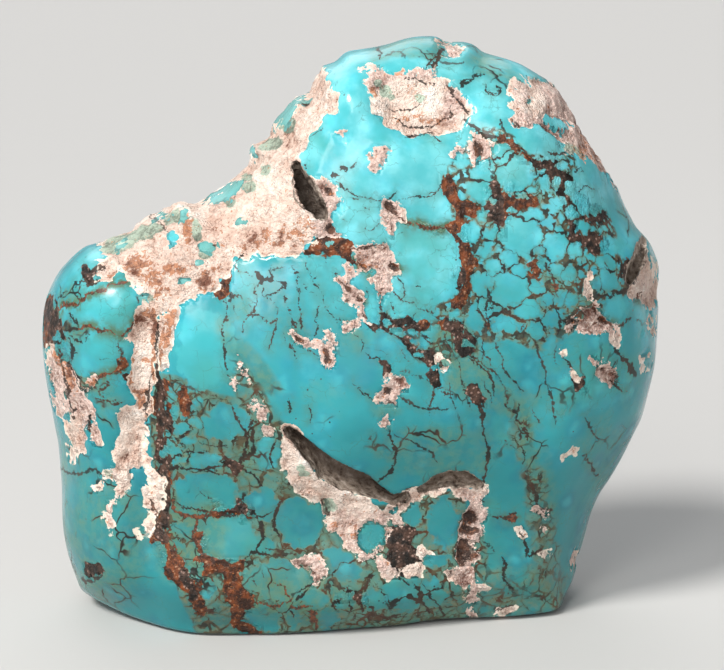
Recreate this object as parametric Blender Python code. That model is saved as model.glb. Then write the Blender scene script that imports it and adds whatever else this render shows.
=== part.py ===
"""Raw turquoise nugget: one polished natural stone that stands on a flat base.

Units are metres with +Z up. The stone's front faces -Y and +X is to its right.
Its outline was drawn as it looks from an eye point in front of it, so the body
is a rounded slab inside the cone of that outline: a front surface and a back
surface, each with its own bumps, meet at a rounded rim. Four open crevices are
cut into it, and the base is flat where it stands.
"""
import math

import bpy
import bmesh
import numpy as np
from mathutils import Vector

# ---------------------------------------------------------------- dimensions
MM = 0.001                     # the functions below work in millimetres
UNIT = 0.3                     # one drawing unit at the middle of the stone, mm
EYE_DISTANCE = 620.0           # eye point to the middle of the stone, mm
EYE_ELEVATION = 12.0           # degrees above the horizontal
DRAWING_CENTRE = (362.0, 335.0)
AIM = (3.45, 0.0, 85.1)        # the point behind the drawing's centre, mm
FRONT_DEPTH = 30.0             # front surface ahead of y = 0, mm, before bumps
BACK_DEPTH = 31.0              # back surface behind y = 0, mm, before bumps
RIM_DEPTH = 5.0                # y of the rim at mid-height, mm
SLAB = (92.5, 34.0, 87.0)      # half sizes of the starting block, mm
CUTS = (36, 11, 36)            # its divisions along X, Y and Z

# The outline, clockwise from the peak, in drawing units (right, down).
OUTLINE = [
    (424, 36.5), (434, 37), (440, 39.5), (446, 43), (460, 43), (468, 44),
    (475, 47), (481, 52), (488, 54.5), (498, 57), (509, 60), (522, 65),
    (536, 74), (553, 86), (567, 102), (578, 118), (590, 137), (604, 160),
    (611, 177), (622, 204), (629, 216), (636, 227), (648, 239), (655, 253),
    (659, 269), (658, 297), (657, 332), (655, 365), (650, 391), (643, 417),
    (635, 432), (624, 451), (609, 476), (598, 494), (590, 515), (584, 538),
    (577, 561), (573, 584), (568, 604), (564, 612), (546, 617.7), (499, 619),
    (468, 620), (425, 623), (397, 626.6), (360, 629.6), (330, 632),
    (295, 634), (270, 635.5), (244, 635.5), (220, 634.7), (200, 633),
    (180, 630), (160, 626), (140, 620), (120, 612.5), (100, 603.5),
    (90, 598), (80, 590), (77, 583), (73, 573), (69, 560), (66, 545),
    (64, 530), (63, 515), (62.5, 500), (62, 485), (60.5, 470), (59, 455),
    (57, 440), (54, 425), (52, 410), (50, 397), (48, 382), (45.5, 362),
    (44, 350), (43, 335), (42.5, 322), (43, 310), (44, 302), (46, 294),
    (49, 286), (52, 279), (56, 272), (60, 266), (66, 260), (72, 254),
    (80, 248), (86, 244.5), (92, 243), (100, 241), (110, 236.5), (120, 231),
    (130, 227), (138, 221), (150, 214), (160, 209), (164, 205), (170, 201.5),
    (177, 198.5), (185, 197.8), (192, 199), (198, 199), (203, 195),
    (209, 191.5), (219, 186), (229, 178), (237, 171), (244, 166), (249, 160),
    (247, 152.5), (250, 145), (258, 140), (267, 133), (268.5, 127),
    (273, 119), (281, 109), (288, 101), (295, 94.5), (304, 92), (307.5, 88),
    (312, 77), (318, 67.5), (326, 64), (335, 61), (341, 55), (347.5, 50.5),
    (358, 48.6), (376, 45.7), (390, 42.5), (400, 39.5), (412, 37),
]
OUTLINE_CENTRE = (350.0, 350.0)

# Rounding of the rim, in drawing units, by direction around the outline
# (degrees, 0 to the right, 90 down): front edge and back edge.
RIM_ROUNDING = [
    (0, 88, 105), (40, 66, 100), (62, 34, 60), (90, 26, 40), (118, 34, 60),
    (140, 66, 90), (180, 64, 95), (205, 80, 100), (228, 112, 105),
    (248, 84, 95), (270, 52, 90), (315, 78, 105), (360, 88, 105),
]

# Bumps and hollows: centre, half widths, turn in degrees, height in mm.
FRONT_BUMPS = [
    (320, 400, 190, 180, 0, 6.0), (600, 600, 150, 170, 0, -15.0),
    (420, 60, 200, 110, 0, -8.0), (148, 425, 15, 115, 0, -4.5),
    (80, 430, 50, 150, 0, -3.0), (370, 400, 105, 55, 12, 5.0),
    (370, 525, 110, 36, 6, -5.0), (250, 592, 120, 45, 0, 2.0),
    (350, 98, 50, 15, 52, 2.6), (425, 100, 44, 26, 0, -4.0),
    (415, 165, 34, 36, 0, 1.8), (425, 265, 36, 48, 0, 1.3),
    (352, 190, 30, 44, 10, 2.2), (540, 142, 27, 15, 22, 1.6),
    (590, 190, 24, 30, -20, 1.6), (505, 160, 26, 28, 0, 1.2),
    (520, 235, 23, 22, 0, 1.2), (200, 245, 60, 38, -30, -3.0),
    (195, 350, 36, 44, 0, 1.6), (610, 300, 26, 60, 0, -2.0),
    (95, 305, 40, 24, -10, 2.5), (92, 355, 26, 24, 0, 1.5),
    (210, 490, 32, 22, 0, 0.9), (230, 537, 30, 22, 0, 0.9),
    (420, 545, 50, 30, 0, 1.8), (120, 450, 12, 50, 12, -1.5),
]
BACK_BUMPS = [
    (300, 300, 180, 200, 0, 6.0), (525, 210, 80, 90, 0, -6.0),
    (180, 500, 110, 90, 0, 3.0), (455, 470, 120, 60, 15, 3.5),
    (250, 150, 90, 60, -30, -4.0), (380, 340, 26, 170, 10, -3.0),
    (110, 330, 60, 50, 0, 2.0), (560, 400, 60, 60, 0, 1.5),
]

# Open crevices: the path of the mouth with its half width, in drawing units,
# then the depth in mm, how far the hole rises as it goes in, in drawing units
# per mm, and how far the mouth's middle lies behind the surface, in mm.
CREVICES = {
    "slit": ([(289, 431, 3), (300, 441, 6), (313, 455, 9), (329, 470, 12),
              (346, 479, 12), (363, 485, 11), (378, 493, 7), (392, 500, 5),
              (404, 497, 3)], 13.0, 1.1, 0.0),
    "arch": ([(422, 489, 3), (436, 482, 6), (450, 479, 7.5), (465, 481, 8),
              (478, 485, 4)], 9.0, 1.2, 0.0),
    "hollow": ([(297, 166, 3), (303, 180, 7), (308, 193, 8.5), (315, 205, 7.5),
                (322, 215, 3)], 12.0, -0.5, 0.0),
    "side_crack": ([(643, 238, 2.5), (640, 251, 4.5), (634, 266, 5.5),
                    (629, 280, 3)], 9.0, -0.8, 0.0),
}

TURQUOISE = (0.055, 0.40, 0.44, 1.0)

# -------------------------------------------------------------- the drawing
_e = math.radians(EYE_ELEVATION)
FOCAL = EYE_DISTANCE / UNIT
FORWARD = np.array([0.0, math.cos(_e), -math.sin(_e)])
UPWARD = np.array([0.0, math.sin(_e), math.cos(_e)])
EYE = np.array(AIM) - EYE_DISTANCE * FORWARD


def to_drawing(points):
    """Millimetre points to drawing units (right, down)."""
    v = points - EYE
    depth = v @ FORWARD
    return (DRAWING_CENTRE[0] + FOCAL * v[:, 0] / depth,
            DRAWING_CENTRE[1] - FOCAL * (v @ UPWARD) / depth)


def from_drawing(u, v, y):
    """The point behind drawing position (u, v) at a given y, mm."""
    ray = (FORWARD + np.array([1.0, 0.0, 0.0]) * (u - DRAWING_CENTRE[0]) / FOCAL
           - UPWARD * (v - DRAWING_CENTRE[1]) / FOCAL)
    return EYE + ray * ((y - EYE[1]) / ray[1])


def floor_y(v):
    """y where the ray through height v of the drawing meets the floor, mm."""
    t = (v - DRAWING_CENTRE[1]) / FOCAL
    ry = FORWARD[1] - UPWARD[1] * t
    rz = FORWARD[2] - UPWARD[2] * t
    return EYE[1] - EYE[2] * ry / np.minimum(rz, -1e-3)


def smoothstep(a, b, x):
    t = np.clip((x - a) / (b - a), 0.0, 1.0)
    return t * t * (3.0 - 2.0 * t)


def smooth_min(a, b, k):
    h = np.maximum(k - np.abs(a - b), 0.0) / k
    return np.minimum(a, b) - h * h * k * 0.25


# ------------------------------------------------- fields over the drawing
GRID_STEP = 4.0
GRID_U = np.arange(-80.0, 800.0, GRID_STEP)
GRID_V = np.arange(-80.0, 760.0, GRID_STEP)


def spline_outline(count=6):
    """The outline through its points as a closed Catmull-Rom curve."""
    p = np.array(OUTLINE, float)
    out = []
    for i in range(len(p)):
        a, b, c, d = p[i - 1], p[i], p[(i + 1) % len(p)], p[(i + 2) % len(p)]
        for k in range(count):
            t = k / count
            out.append(0.5 * (2 * b + (c - a) * t
                              + (2 * a - 5 * b + 4 * c - d) * t * t
                              + (3 * b - a - 3 * c + d) * t ** 3))
    return np.array(out)


def blur(field, sigma):
    n = int(3 * sigma) + 1
    k = np.exp(-0.5 * (np.arange(-n, n + 1) / sigma) ** 2)
    k /= k.sum()
    for axis in (0, 1):
        pad = [(n, n) if a == axis else (0, 0) for a in (0, 1)]
        f = np.pad(field, pad, mode="edge")
        field = sum(w * np.take(f, range(i, i + field.shape[axis]), axis=axis)
                    for i, w in enumerate(k))
    return field


def bump_sum(bumps, u, v):
    total = np.zeros_like(u)
    for cu, cv, ru, rv, turn, height in bumps:
        c, s = math.cos(math.radians(turn)), math.sin(math.radians(turn))
        a = ((u - cu) * c + (v - cv) * s) / ru
        b = (-(u - cu) * s + (v - cv) * c) / rv
        total += height * np.exp(-0.5 * (a * a + b * b))
    return total


def make_fields():
    """inside distance, front and back rounding, rim, front and back depth."""
    u, v = np.meshgrid(GRID_U, GRID_V)
    line = spline_outline()
    nxt = np.roll(line, -1, axis=0)
    best = np.full(u.shape, 1e9)
    for (ax, ay), (bx, by) in zip(line, nxt):
        dx, dy = bx - ax, by - ay
        t = np.clip(((u - ax) * dx + (v - ay) * dy) / (dx * dx + dy * dy), 0, 1)
        best = np.minimum(best, (u - ax - t * dx) ** 2 + (v - ay - t * dy) ** 2)
    cu, cv = OUTLINE_CENTRE
    ang = np.arctan2(line[:, 1] - cv, line[:, 0] - cu)
    order = np.argsort(ang)
    reach = np.interp(np.arctan2(v - cv, u - cu), ang[order],
                      np.hypot(line[order, 0] - cu, line[order, 1] - cv),
                      period=2 * math.pi)
    inside = np.sqrt(best) * np.sign(reach - np.hypot(u - cu, v - cv))
    inside += smoothstep(5.0, 36.0, inside) * (blur(inside, 3.0) - inside)

    direction = np.degrees(np.arctan2(v - cv, u - cu)) % 360.0
    table = np.array(RIM_ROUNDING, float)
    front_round = blur(np.interp(direction, table[:, 0], table[:, 1]), 4.0)
    back_round = blur(np.interp(direction, table[:, 0], table[:, 2]), 4.0)
    rim = smooth_min(RIM_DEPTH + 6.0 * (u - cu) / 300.0,
                     floor_y(np.maximum(v, 480.0)) - 0.6, 6.0)
    front = -(FRONT_DEPTH + bump_sum(FRONT_BUMPS, u, v))
    back = BACK_DEPTH + bump_sum(BACK_BUMPS, u, v)
    front = np.minimum(front, rim - 4.0)
    return np.stack([inside, front_round, back_round, rim, front, back], axis=2)


FIELDS = make_fields()


def sample(u, v):
    """The fields at drawing positions, by cubic B-spline."""
    x = np.clip((u - GRID_U[0]) / GRID_STEP, 1.0, len(GRID_U) - 3.001)
    y = np.clip((v - GRID_V[0]) / GRID_STEP, 1.0, len(GRID_V) - 3.001)
    i, j = np.floor(x).astype(int), np.floor(y).astype(int)

    def weights(f):
        return ((1 - f) ** 3 / 6, (3 * f ** 3 - 6 * f * f + 4) / 6,
                (-3 * f ** 3 + 3 * f * f + 3 * f + 1) / 6, f ** 3 / 6)
    wx, wy = weights(x - i), weights(y - j)
    out = np.zeros((len(u), FIELDS.shape[2]))
    for b in range(4):
        for a in range(4):
            out += FIELDS[j - 1 + b, i - 1 + a] * (wx[a] * wy[b])[:, None]
    return out.T


# ------------------------------------------------------------ the solid body
def undulation(p):
    """Slow unevenness of the polished surface, mm."""
    x, y, z = p[:, 0], p[:, 1], p[:, 2]
    return (0.40 * np.sin(x / 9.1 + 1.3) * np.sin(z / 7.7 + 0.4)
            + 0.35 * np.sin(y / 6.3 + z / 11.0 + 2.0) * np.cos(x / 12.7)
            + 0.30 * np.sin(x / 5.9 - z / 8.3 + 0.7) * np.cos(y / 8.0 + 1.1))


def body(p):
    """Roughly the depth inside the stone in mm, positive inside."""
    u, v = to_drawing(p)
    inside, rf, rb, rim, front, back = sample(u, v)
    ahead = p[:, 1] < rim
    rounding = np.where(ahead, rf, rb)
    depth = np.where(ahead, rim - front, back - rim)
    a = np.maximum(0.0, 1.0 - inside / rounding)
    b = (p[:, 1] - rim) / depth
    q = np.maximum(np.sqrt(a * a + b * b), 1e-6)
    slope = np.sqrt((a / (rounding * UNIT)) ** 2 + (b / depth) ** 2) + 1e-9
    f = (1.0 - q) * q / slope + undulation(p)
    k = 1.6 + 8.0 * smoothstep(-22.0, 10.0, p[:, 1])
    return smooth_min(f, p[:, 2], k)


def block_mesh():
    """A block with even divisions on each face."""
    bm = bmesh.new()
    bmesh.ops.create_cube(bm, size=2.0)
    for axis in range(3):
        for k in range(1, CUTS[axis]):
            co, no = Vector((0, 0, 0)), Vector((0, 0, 0))
            co[axis] = -1.0 + 2.0 * k / CUTS[axis]
            no[axis] = 1.0
            bmesh.ops.bisect_plane(bm, geom=bm.verts[:] + bm.edges[:] + bm.faces[:],
                                   dist=1e-7, plane_co=co, plane_no=no)
    return bm


def stone():
    """The block's vertices pushed out along rays until they meet the surface."""
    bm = block_mesh()
    centre = np.array([0.0, 2.0, 86.0])
    ray = np.array([v.co[:] for v in bm.verts]) * np.array(SLAB)
    low, high = np.full(len(ray), 0.05), np.full(len(ray), 2.2)
    for _ in range(44):
        mid = 0.5 * (low + high)
        within = body(centre + ray * mid[:, None]) > 0.0
        low, high = np.where(within, mid, low), np.where(within, high, mid)
    points = centre + ray * low[:, None]
    points[np.abs(points[:, 2]) < 1e-3, 2] = 0.0
    for v, p in zip(bm.verts, points):
        v.co = Vector((p * MM).tolist())
    # The base becomes one flat face.
    flat = [f for f in bm.faces if all(v.co.z == 0.0 for v in f.verts)]
    bmesh.ops.dissolve_faces(bm, faces=flat, use_verts=True)
    rest = [f for f in bm.faces if any(v.co.z != 0.0 for v in f.verts)]
    bmesh.ops.triangulate(bm, faces=rest)
    bmesh.ops.recalc_face_normals(bm, faces=bm.faces[:])
    return bm


def surface_y(u, v):
    """y of the front surface behind one drawing position, mm."""
    inside, rf, _, rim, front, _ = sample(np.array([float(u)]), np.array([float(v)]))
    a = max(0.0, 1.0 - inside[0] / rf[0])
    return float(rim[0] + (front[0] - rim[0]) * math.sqrt(max(0.0, 1.0 - a * a)))


def crevice(name, path, depth, rise, setback, sides=10):
    """A bent lens along the mouth's path, used to cut the stone."""
    bm = bmesh.new()
    rings = []
    pts = [np.array([p[0], p[1]], float) for p in path]
    for i, (u, v, half) in enumerate(path):
        along = pts[min(i + 1, len(pts) - 1)] - pts[max(i - 1, 0)]
        along /= np.linalg.norm(along)
        across = np.array([along[1], 0.0, along[0]])     # square to the path
        inward = np.array([0.0, 1.0, rise * UNIT])
        middle = from_drawing(u, v, surface_y(u, v) + setback)
        reach = depth * min(1.0, half / 7.0 + 0.25)
        ring = []
        for k in range(sides):
            t = 2 * math.pi * k / sides
            p = (middle + across * half * UNIT * math.cos(t)
                 + inward * reach * math.sin(t))
            ring.append(bm.verts.new(Vector((p * MM).tolist())))
        rings.append(ring)
    for a, b in zip(rings, rings[1:]):
        for k in range(sides):
            n = (k + 1) % sides
            bm.faces.new((a[k], a[n], b[n], b[k]))
    bm.faces.new(rings[0][::-1])
    bm.faces.new(rings[-1])
    bmesh.ops.triangulate(bm, faces=bm.faces[:])
    bmesh.ops.recalc_face_normals(bm, faces=bm.faces[:])
    return to_object(bm, name)


def to_object(bm, name):
    mesh = bpy.data.meshes.new(name)
    bm.to_mesh(mesh)
    bm.free()
    obj = bpy.data.objects.new(name, mesh)
    bpy.context.scene.collection.objects.link(obj)
    return obj


def material():
    mat = bpy.data.materials.new("turquoise")
    mat.use_nodes = True
    shader = mat.node_tree.nodes["Principled BSDF"]
    shader.inputs["Base Color"].default_value = TURQUOISE
    shader.inputs["Roughness"].default_value = 0.25
    shader.inputs["Metallic"].default_value = 0.0
    mat.diffuse_color = TURQUOISE
    return mat


def main():
    for obj in list(bpy.data.objects):
        bpy.data.objects.remove(obj, do_unlink=True)

    nugget = to_object(stone(), "turquoise_nugget")
    cutters = [crevice("cut_" + name, *args) for name, args in CREVICES.items()]

    # The middle of the stone's own box goes over the origin.
    xs = [v.co.x for v in nugget.data.vertices]
    ys = [v.co.y for v in nugget.data.vertices]
    shift = Vector(((min(xs) + max(xs)) / 2, (min(ys) + max(ys)) / 2, 0.0))
    for obj in [nugget] + cutters:
        for v in obj.data.vertices:
            v.co -= shift

    for cutter in cutters:
        cutter.hide_render = True
        cutter.display_type = "WIRE"
        cut = nugget.modifiers.new(cutter.name, "BOOLEAN")
        cut.operation = "DIFFERENCE"
        cut.solver = "EXACT"
        cut.object = cutter

    nugget.data.materials.append(material())
    nugget.data.shade_smooth()


main()
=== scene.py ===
"""Looks of the raw turquoise nugget.

A fine mesh of the whole stone replaces the plain CAD
solid. Its shape repeats the functions of the CAD model, with more relief. Its
pattern is laid out as patches, nodules and veins drawn over the front, in the
drawing units of the CAD model, and by rules everywhere else; the material
turns that into polished turquoise, seams and rough matrix. Every colour comes
from shader nodes.
"""
import math
import bpy
import numpy as np
from mathutils import Matrix, Vector


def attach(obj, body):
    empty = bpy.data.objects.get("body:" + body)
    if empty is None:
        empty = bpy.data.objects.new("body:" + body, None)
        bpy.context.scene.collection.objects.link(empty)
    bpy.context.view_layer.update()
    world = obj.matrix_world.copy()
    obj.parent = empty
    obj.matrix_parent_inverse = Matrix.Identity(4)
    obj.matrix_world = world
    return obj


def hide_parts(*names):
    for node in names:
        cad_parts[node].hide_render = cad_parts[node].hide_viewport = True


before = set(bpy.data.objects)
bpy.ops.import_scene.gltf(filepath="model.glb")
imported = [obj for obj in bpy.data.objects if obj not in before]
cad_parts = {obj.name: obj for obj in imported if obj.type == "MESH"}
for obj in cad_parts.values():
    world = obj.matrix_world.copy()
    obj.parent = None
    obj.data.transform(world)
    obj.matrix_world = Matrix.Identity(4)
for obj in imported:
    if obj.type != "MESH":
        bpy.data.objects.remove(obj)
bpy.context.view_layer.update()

NODE = "turquoise_nugget"
MM = 0.001

# ===================================================== shape, as in the CAD
UNIT = 0.3
EYE_DISTANCE = 620.0
EYE_ELEVATION = 12.0
DRAWING_CENTRE = (362.0, 335.0)
AIM = (3.45, 0.0, 85.1)
FRONT_DEPTH = 30.0
BACK_DEPTH = 31.0
RIM_DEPTH = 5.0

OUTLINE = [
    (424, 36.5), (434, 37), (440, 39.5), (446, 43), (460, 43), (468, 44),
    (475, 47), (481, 52), (488, 54.5), (498, 57), (509, 60), (522, 65),
    (536, 74), (553, 86), (567, 102), (578, 118), (590, 137), (604, 160),
    (611, 177), (622, 204), (629, 216), (636, 227), (648, 239), (655, 253),
    (659, 269), (658, 297), (657, 332), (655, 365), (650, 391), (643, 417),
    (635, 432), (624, 451), (609, 476), (598, 494), (590, 515), (584, 538),
    (577, 561), (573, 584), (568, 604), (564, 612), (546, 617.7), (499, 619),
    (468, 620), (425, 623), (397, 626.6), (360, 629.6), (330, 632),
    (295, 634), (270, 635.5), (244, 635.5), (220, 634.7), (200, 633),
    (180, 630), (160, 626), (140, 620), (120, 612.5), (100, 603.5),
    (90, 598), (80, 590), (77, 583), (73, 573), (69, 560), (66, 545),
    (64, 530), (63, 515), (62.5, 500), (62, 485), (60.5, 470), (59, 455),
    (57, 440), (54, 425), (52, 410), (50, 397), (48, 382), (45.5, 362),
    (44, 350), (43, 335), (42.5, 322), (43, 310), (44, 302), (46, 294),
    (49, 286), (52, 279), (56, 272), (60, 266), (66, 260), (72, 254),
    (80, 248), (86, 244.5), (92, 243), (100, 241), (110, 236.5), (120, 231),
    (130, 227), (138, 221), (150, 214), (160, 209), (164, 205), (170, 201.5),
    (177, 198.5), (185, 197.8), (192, 199), (198, 199), (203, 195),
    (209, 191.5), (219, 186), (229, 178), (237, 171), (244, 166), (249, 160),
    (247, 152.5), (250, 145), (258, 140), (267, 133), (268.5, 127),
    (273, 119), (281, 109), (288, 101), (295, 94.5), (304, 92), (307.5, 88),
    (312, 77), (318, 67.5), (326, 64), (335, 61), (341, 55), (347.5, 50.5),
    (358, 48.6), (376, 45.7), (390, 42.5), (400, 39.5), (412, 37),
]
OUTLINE_CENTRE = (350.0, 350.0)

RIM_ROUNDING = [
    (0, 88, 105), (40, 66, 100), (62, 34, 60), (90, 26, 40), (118, 34, 60),
    (140, 66, 90), (180, 64, 95), (205, 80, 100), (228, 112, 105),
    (248, 84, 95), (270, 52, 90), (315, 78, 105), (360, 88, 105),
]
FRONT_BUMPS = [
    (320, 400, 190, 180, 0, 6.0), (600, 600, 150, 170, 0, -15.0),
    (420, 60, 200, 110, 0, -8.0), (148, 425, 15, 115, 0, -4.5),
    (80, 430, 50, 150, 0, -3.0), (370, 400, 105, 55, 12, 5.0),
    (370, 525, 110, 36, 6, -5.0), (250, 592, 120, 45, 0, 2.0),
    (350, 98, 50, 15, 52, 2.6), (425, 100, 44, 26, 0, -4.0),
    (415, 165, 34, 36, 0, 1.8), (425, 265, 36, 48, 0, 1.3),
    (352, 190, 30, 44, 10, 2.2), (540, 142, 27, 15, 22, 1.6),
    (590, 190, 24, 30, -20, 1.6), (505, 160, 26, 28, 0, 1.2),
    (520, 235, 23, 22, 0, 1.2), (200, 245, 60, 38, -30, -3.0),
    (195, 350, 36, 44, 0, 1.6), (610, 300, 26, 60, 0, -2.0),
    (95, 305, 40, 24, -10, 2.5), (92, 355, 26, 24, 0, 1.5),
    (210, 490, 32, 22, 0, 0.9), (230, 537, 30, 22, 0, 0.9),
    (420, 545, 50, 30, 0, 1.8), (120, 450, 12, 50, 12, -1.5),
]
BACK_BUMPS = [
    (300, 300, 180, 200, 0, 6.0), (525, 210, 80, 90, 0, -6.0),
    (180, 500, 110, 90, 0, 3.0), (455, 470, 120, 60, 15, 3.5),
    (250, 150, 90, 60, -30, -4.0), (380, 340, 26, 170, 10, -3.0),
    (110, 330, 60, 50, 0, 2.0), (560, 400, 60, 60, 0, 1.5),
]
CREVICES = [
    ([(289, 431, 3), (300, 441, 6), (313, 455, 9), (329, 470, 12),
      (346, 479, 12), (363, 485, 11), (378, 493, 7), (392, 500, 5),
      (404, 497, 3)], 13.0, 1.1, 0.0),
    ([(422, 489, 3), (436, 482, 6), (450, 479, 7.5), (465, 481, 8),
      (478, 485, 4)], 9.0, 1.2, 0.0),
    ([(297, 166, 3), (303, 180, 7), (308, 193, 8.5), (315, 205, 7.5),
      (322, 215, 3)], 12.0, -0.5, 0.0),
    ([(643, 238, 2.5), (640, 251, 4.5), (634, 266, 5.5), (629, 280, 3)],
     9.0, -0.8, 0.0),
]

_e = math.radians(EYE_ELEVATION)
FOCAL = EYE_DISTANCE / UNIT
FORWARD = np.array([0.0, math.cos(_e), -math.sin(_e)])
UPWARD = np.array([0.0, math.sin(_e), math.cos(_e)])
EYE = np.array(AIM) - EYE_DISTANCE * FORWARD


def to_drawing(points):
    v = points - EYE
    depth = v @ FORWARD
    return (DRAWING_CENTRE[0] + FOCAL * v[:, 0] / depth,
            DRAWING_CENTRE[1] - FOCAL * (v @ UPWARD) / depth)


def floor_y(v):
    t = (v - DRAWING_CENTRE[1]) / FOCAL
    ry = FORWARD[1] - UPWARD[1] * t
    rz = FORWARD[2] - UPWARD[2] * t
    return EYE[1] - EYE[2] * ry / np.minimum(rz, -1e-3)


def smoothstep(a, b, x):
    t = np.clip((x - a) / (b - a), 0.0, 1.0)
    return t * t * (3.0 - 2.0 * t)


def smooth_min(a, b, k):
    h = np.maximum(k - np.abs(a - b), 0.0) / k
    return np.minimum(a, b) - h * h * k * 0.25


GRID_STEP = 4.0
GRID_U = np.arange(-80.0, 800.0, GRID_STEP)
GRID_V = np.arange(-80.0, 760.0, GRID_STEP)


def spline(points, closed=True, count=6):
    p = np.array(points, float)
    n = len(p)
    out = []
    for i in range(n if closed else n - 1):
        if closed:
            a, b, c, d = p[i - 1], p[i], p[(i + 1) % n], p[(i + 2) % n]
        else:
            a, b = p[max(i - 1, 0)], p[i]
            c, d = p[i + 1], p[min(i + 2, n - 1)]
        for k in range(count):
            t = k / count
            out.append(0.5 * (2 * b + (c - a) * t
                              + (2 * a - 5 * b + 4 * c - d) * t * t
                              + (3 * b - a - 3 * c + d) * t ** 3))
    if not closed:
        out.append(p[-1])
    return np.array(out)


def blur(field, sigma):
    n = int(3 * sigma) + 1
    k = np.exp(-0.5 * (np.arange(-n, n + 1) / sigma) ** 2)
    k /= k.sum()
    for axis in (0, 1):
        pad = [(n, n) if a == axis else (0, 0) for a in (0, 1)]
        f = np.pad(field, pad, mode="edge")
        field = sum(w * np.take(f, range(i, i + field.shape[axis]), axis=axis)
                    for i, w in enumerate(k))
    return field


def bump_sum(bumps, u, v):
    total = np.zeros_like(u)
    for cu, cv, ru, rv, turn, height in bumps:
        c, s = math.cos(math.radians(turn)), math.sin(math.radians(turn))
        a = ((u - cu) * c + (v - cv) * s) / ru
        b = (-(u - cu) * s + (v - cv) * c) / rv
        total += height * np.exp(-0.5 * (a * a + b * b))
    return total


def distance_to_line(line, u, v, closed=True):
    best = np.full(np.shape(u), 1e9)
    nxt = np.roll(line, -1, axis=0) if closed else line[1:]
    for (ax, ay), (bx, by) in zip(line, nxt):
        dx, dy = bx - ax, by - ay
        t = np.clip(((u - ax) * dx + (v - ay) * dy) / max(dx * dx + dy * dy, 1e-9), 0, 1)
        best = np.minimum(best, (u - ax - t * dx) ** 2 + (v - ay - t * dy) ** 2)
    return np.sqrt(best)


def make_fields():
    u, v = np.meshgrid(GRID_U, GRID_V)
    line = spline(OUTLINE)
    cu, cv = OUTLINE_CENTRE
    ang = np.arctan2(line[:, 1] - cv, line[:, 0] - cu)
    order = np.argsort(ang)
    reach = np.interp(np.arctan2(v - cv, u - cu), ang[order],
                      np.hypot(line[order, 0] - cu, line[order, 1] - cv),
                      period=2 * math.pi)
    inside = distance_to_line(line, u, v) * np.sign(reach - np.hypot(u - cu, v - cv))
    inside += smoothstep(5.0, 36.0, inside) * (blur(inside, 3.0) - inside)
    direction = np.degrees(np.arctan2(v - cv, u - cu)) % 360.0
    table = np.array(RIM_ROUNDING, float)
    front_round = blur(np.interp(direction, table[:, 0], table[:, 1]), 4.0)
    back_round = blur(np.interp(direction, table[:, 0], table[:, 2]), 4.0)
    rim = smooth_min(RIM_DEPTH + 6.0 * (u - cu) / 300.0,
                     floor_y(np.maximum(v, 480.0)) - 0.6, 6.0)
    front = -(FRONT_DEPTH + bump_sum(FRONT_BUMPS, u, v))
    back = BACK_DEPTH + bump_sum(BACK_BUMPS, u, v)
    front = np.minimum(front, rim - 4.0)
    return np.stack([inside, front_round, back_round, rim, front, back], axis=2)


FIELDS = make_fields()


def sample(u, v, fields=None, cubic=True):
    fields = FIELDS if fields is None else fields
    x = np.clip((u - GRID_U[0]) / GRID_STEP, 1.0, len(GRID_U) - 3.001)
    y = np.clip((v - GRID_V[0]) / GRID_STEP, 1.0, len(GRID_V) - 3.001)
    i, j = np.floor(x).astype(int), np.floor(y).astype(int)
    f, g = x - i, y - j
    if cubic:
        def weights(t):
            return ((1 - t) ** 3 / 6, (3 * t ** 3 - 6 * t * t + 4) / 6,
                    (-3 * t ** 3 + 3 * t * t + 3 * t + 1) / 6, t ** 3 / 6)
        wx, wy, first, taps = weights(f), weights(g), -1, 4
    else:
        wx, wy, first, taps = (1 - f, f), (1 - g, g), 0, 2
    out = np.zeros((len(u), fields.shape[2]))
    for b in range(taps):
        for a in range(taps):
            out += fields[j + first + b, i + first + a] * (wx[a] * wy[b])[:, None]
    return out.T


def undulation(p):
    x, y, z = p[:, 0], p[:, 1], p[:, 2]
    return (0.40 * np.sin(x / 9.1 + 1.3) * np.sin(z / 7.7 + 0.4)
            + 0.35 * np.sin(y / 6.3 + z / 11.0 + 2.0) * np.cos(x / 12.7)
            + 0.30 * np.sin(x / 5.9 - z / 8.3 + 0.7) * np.cos(y / 8.0 + 1.1))


def front_y(s):
    """y of the front surface from sampled fields."""
    inside, rf, _, rim, front, _ = s
    a = np.clip(1.0 - inside / rf, 0.0, 1.0)
    return rim + (front - rim) * np.sqrt(1.0 - a * a)


def crevice_depth(p, u, v, s):
    """Depth inside the open crevices in mm, positive inside."""
    best = np.full(len(p), -50.0)
    ys = front_y(s)
    for path, depth, rise, setback in CREVICES:
        pts = np.array(path, float)
        lo, hi = pts[:, :2].min(axis=0) - 40, pts[:, :2].max(axis=0) + 40
        pick = np.where((u > lo[0]) & (u < hi[0]) & (v > lo[1]) & (v < hi[1])
                        & (p[:, 1] < ys + depth * 1.6 + 4))[0]
        if not len(pick):
            continue
        w = p[pick, 1] - ys[pick] - setback
        uu, vv = u[pick], v[pick] + rise * w
        near = np.full(len(pick), 1e9)
        e = np.zeros(len(pick))
        half = np.zeros(len(pick))
        for (ax, ay, ah), (bx, by, bh) in zip(pts, pts[1:]):
            dx, dy = bx - ax, by - ay
            t = np.clip(((uu - ax) * dx + (vv - ay) * dy) / (dx * dx + dy * dy), 0, 1)
            d = np.hypot(uu - ax - t * dx, vv - ay - t * dy)
            better = d < near
            near = np.where(better, d, near)
            half = np.where(better, ah + (bh - ah) * t, half)
        reach = depth * np.minimum(1.0, half / 7.0 + 0.25)
        a, b = near / half, w / reach
        q = np.sqrt(a * a + b * b) + 1e-6
        slope = np.sqrt((a / (half * UNIT)) ** 2 + (b / reach) ** 2) + 1e-9
        best[pick] = np.maximum(best[pick], (1.0 - q) * q / slope)
    return best


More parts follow.
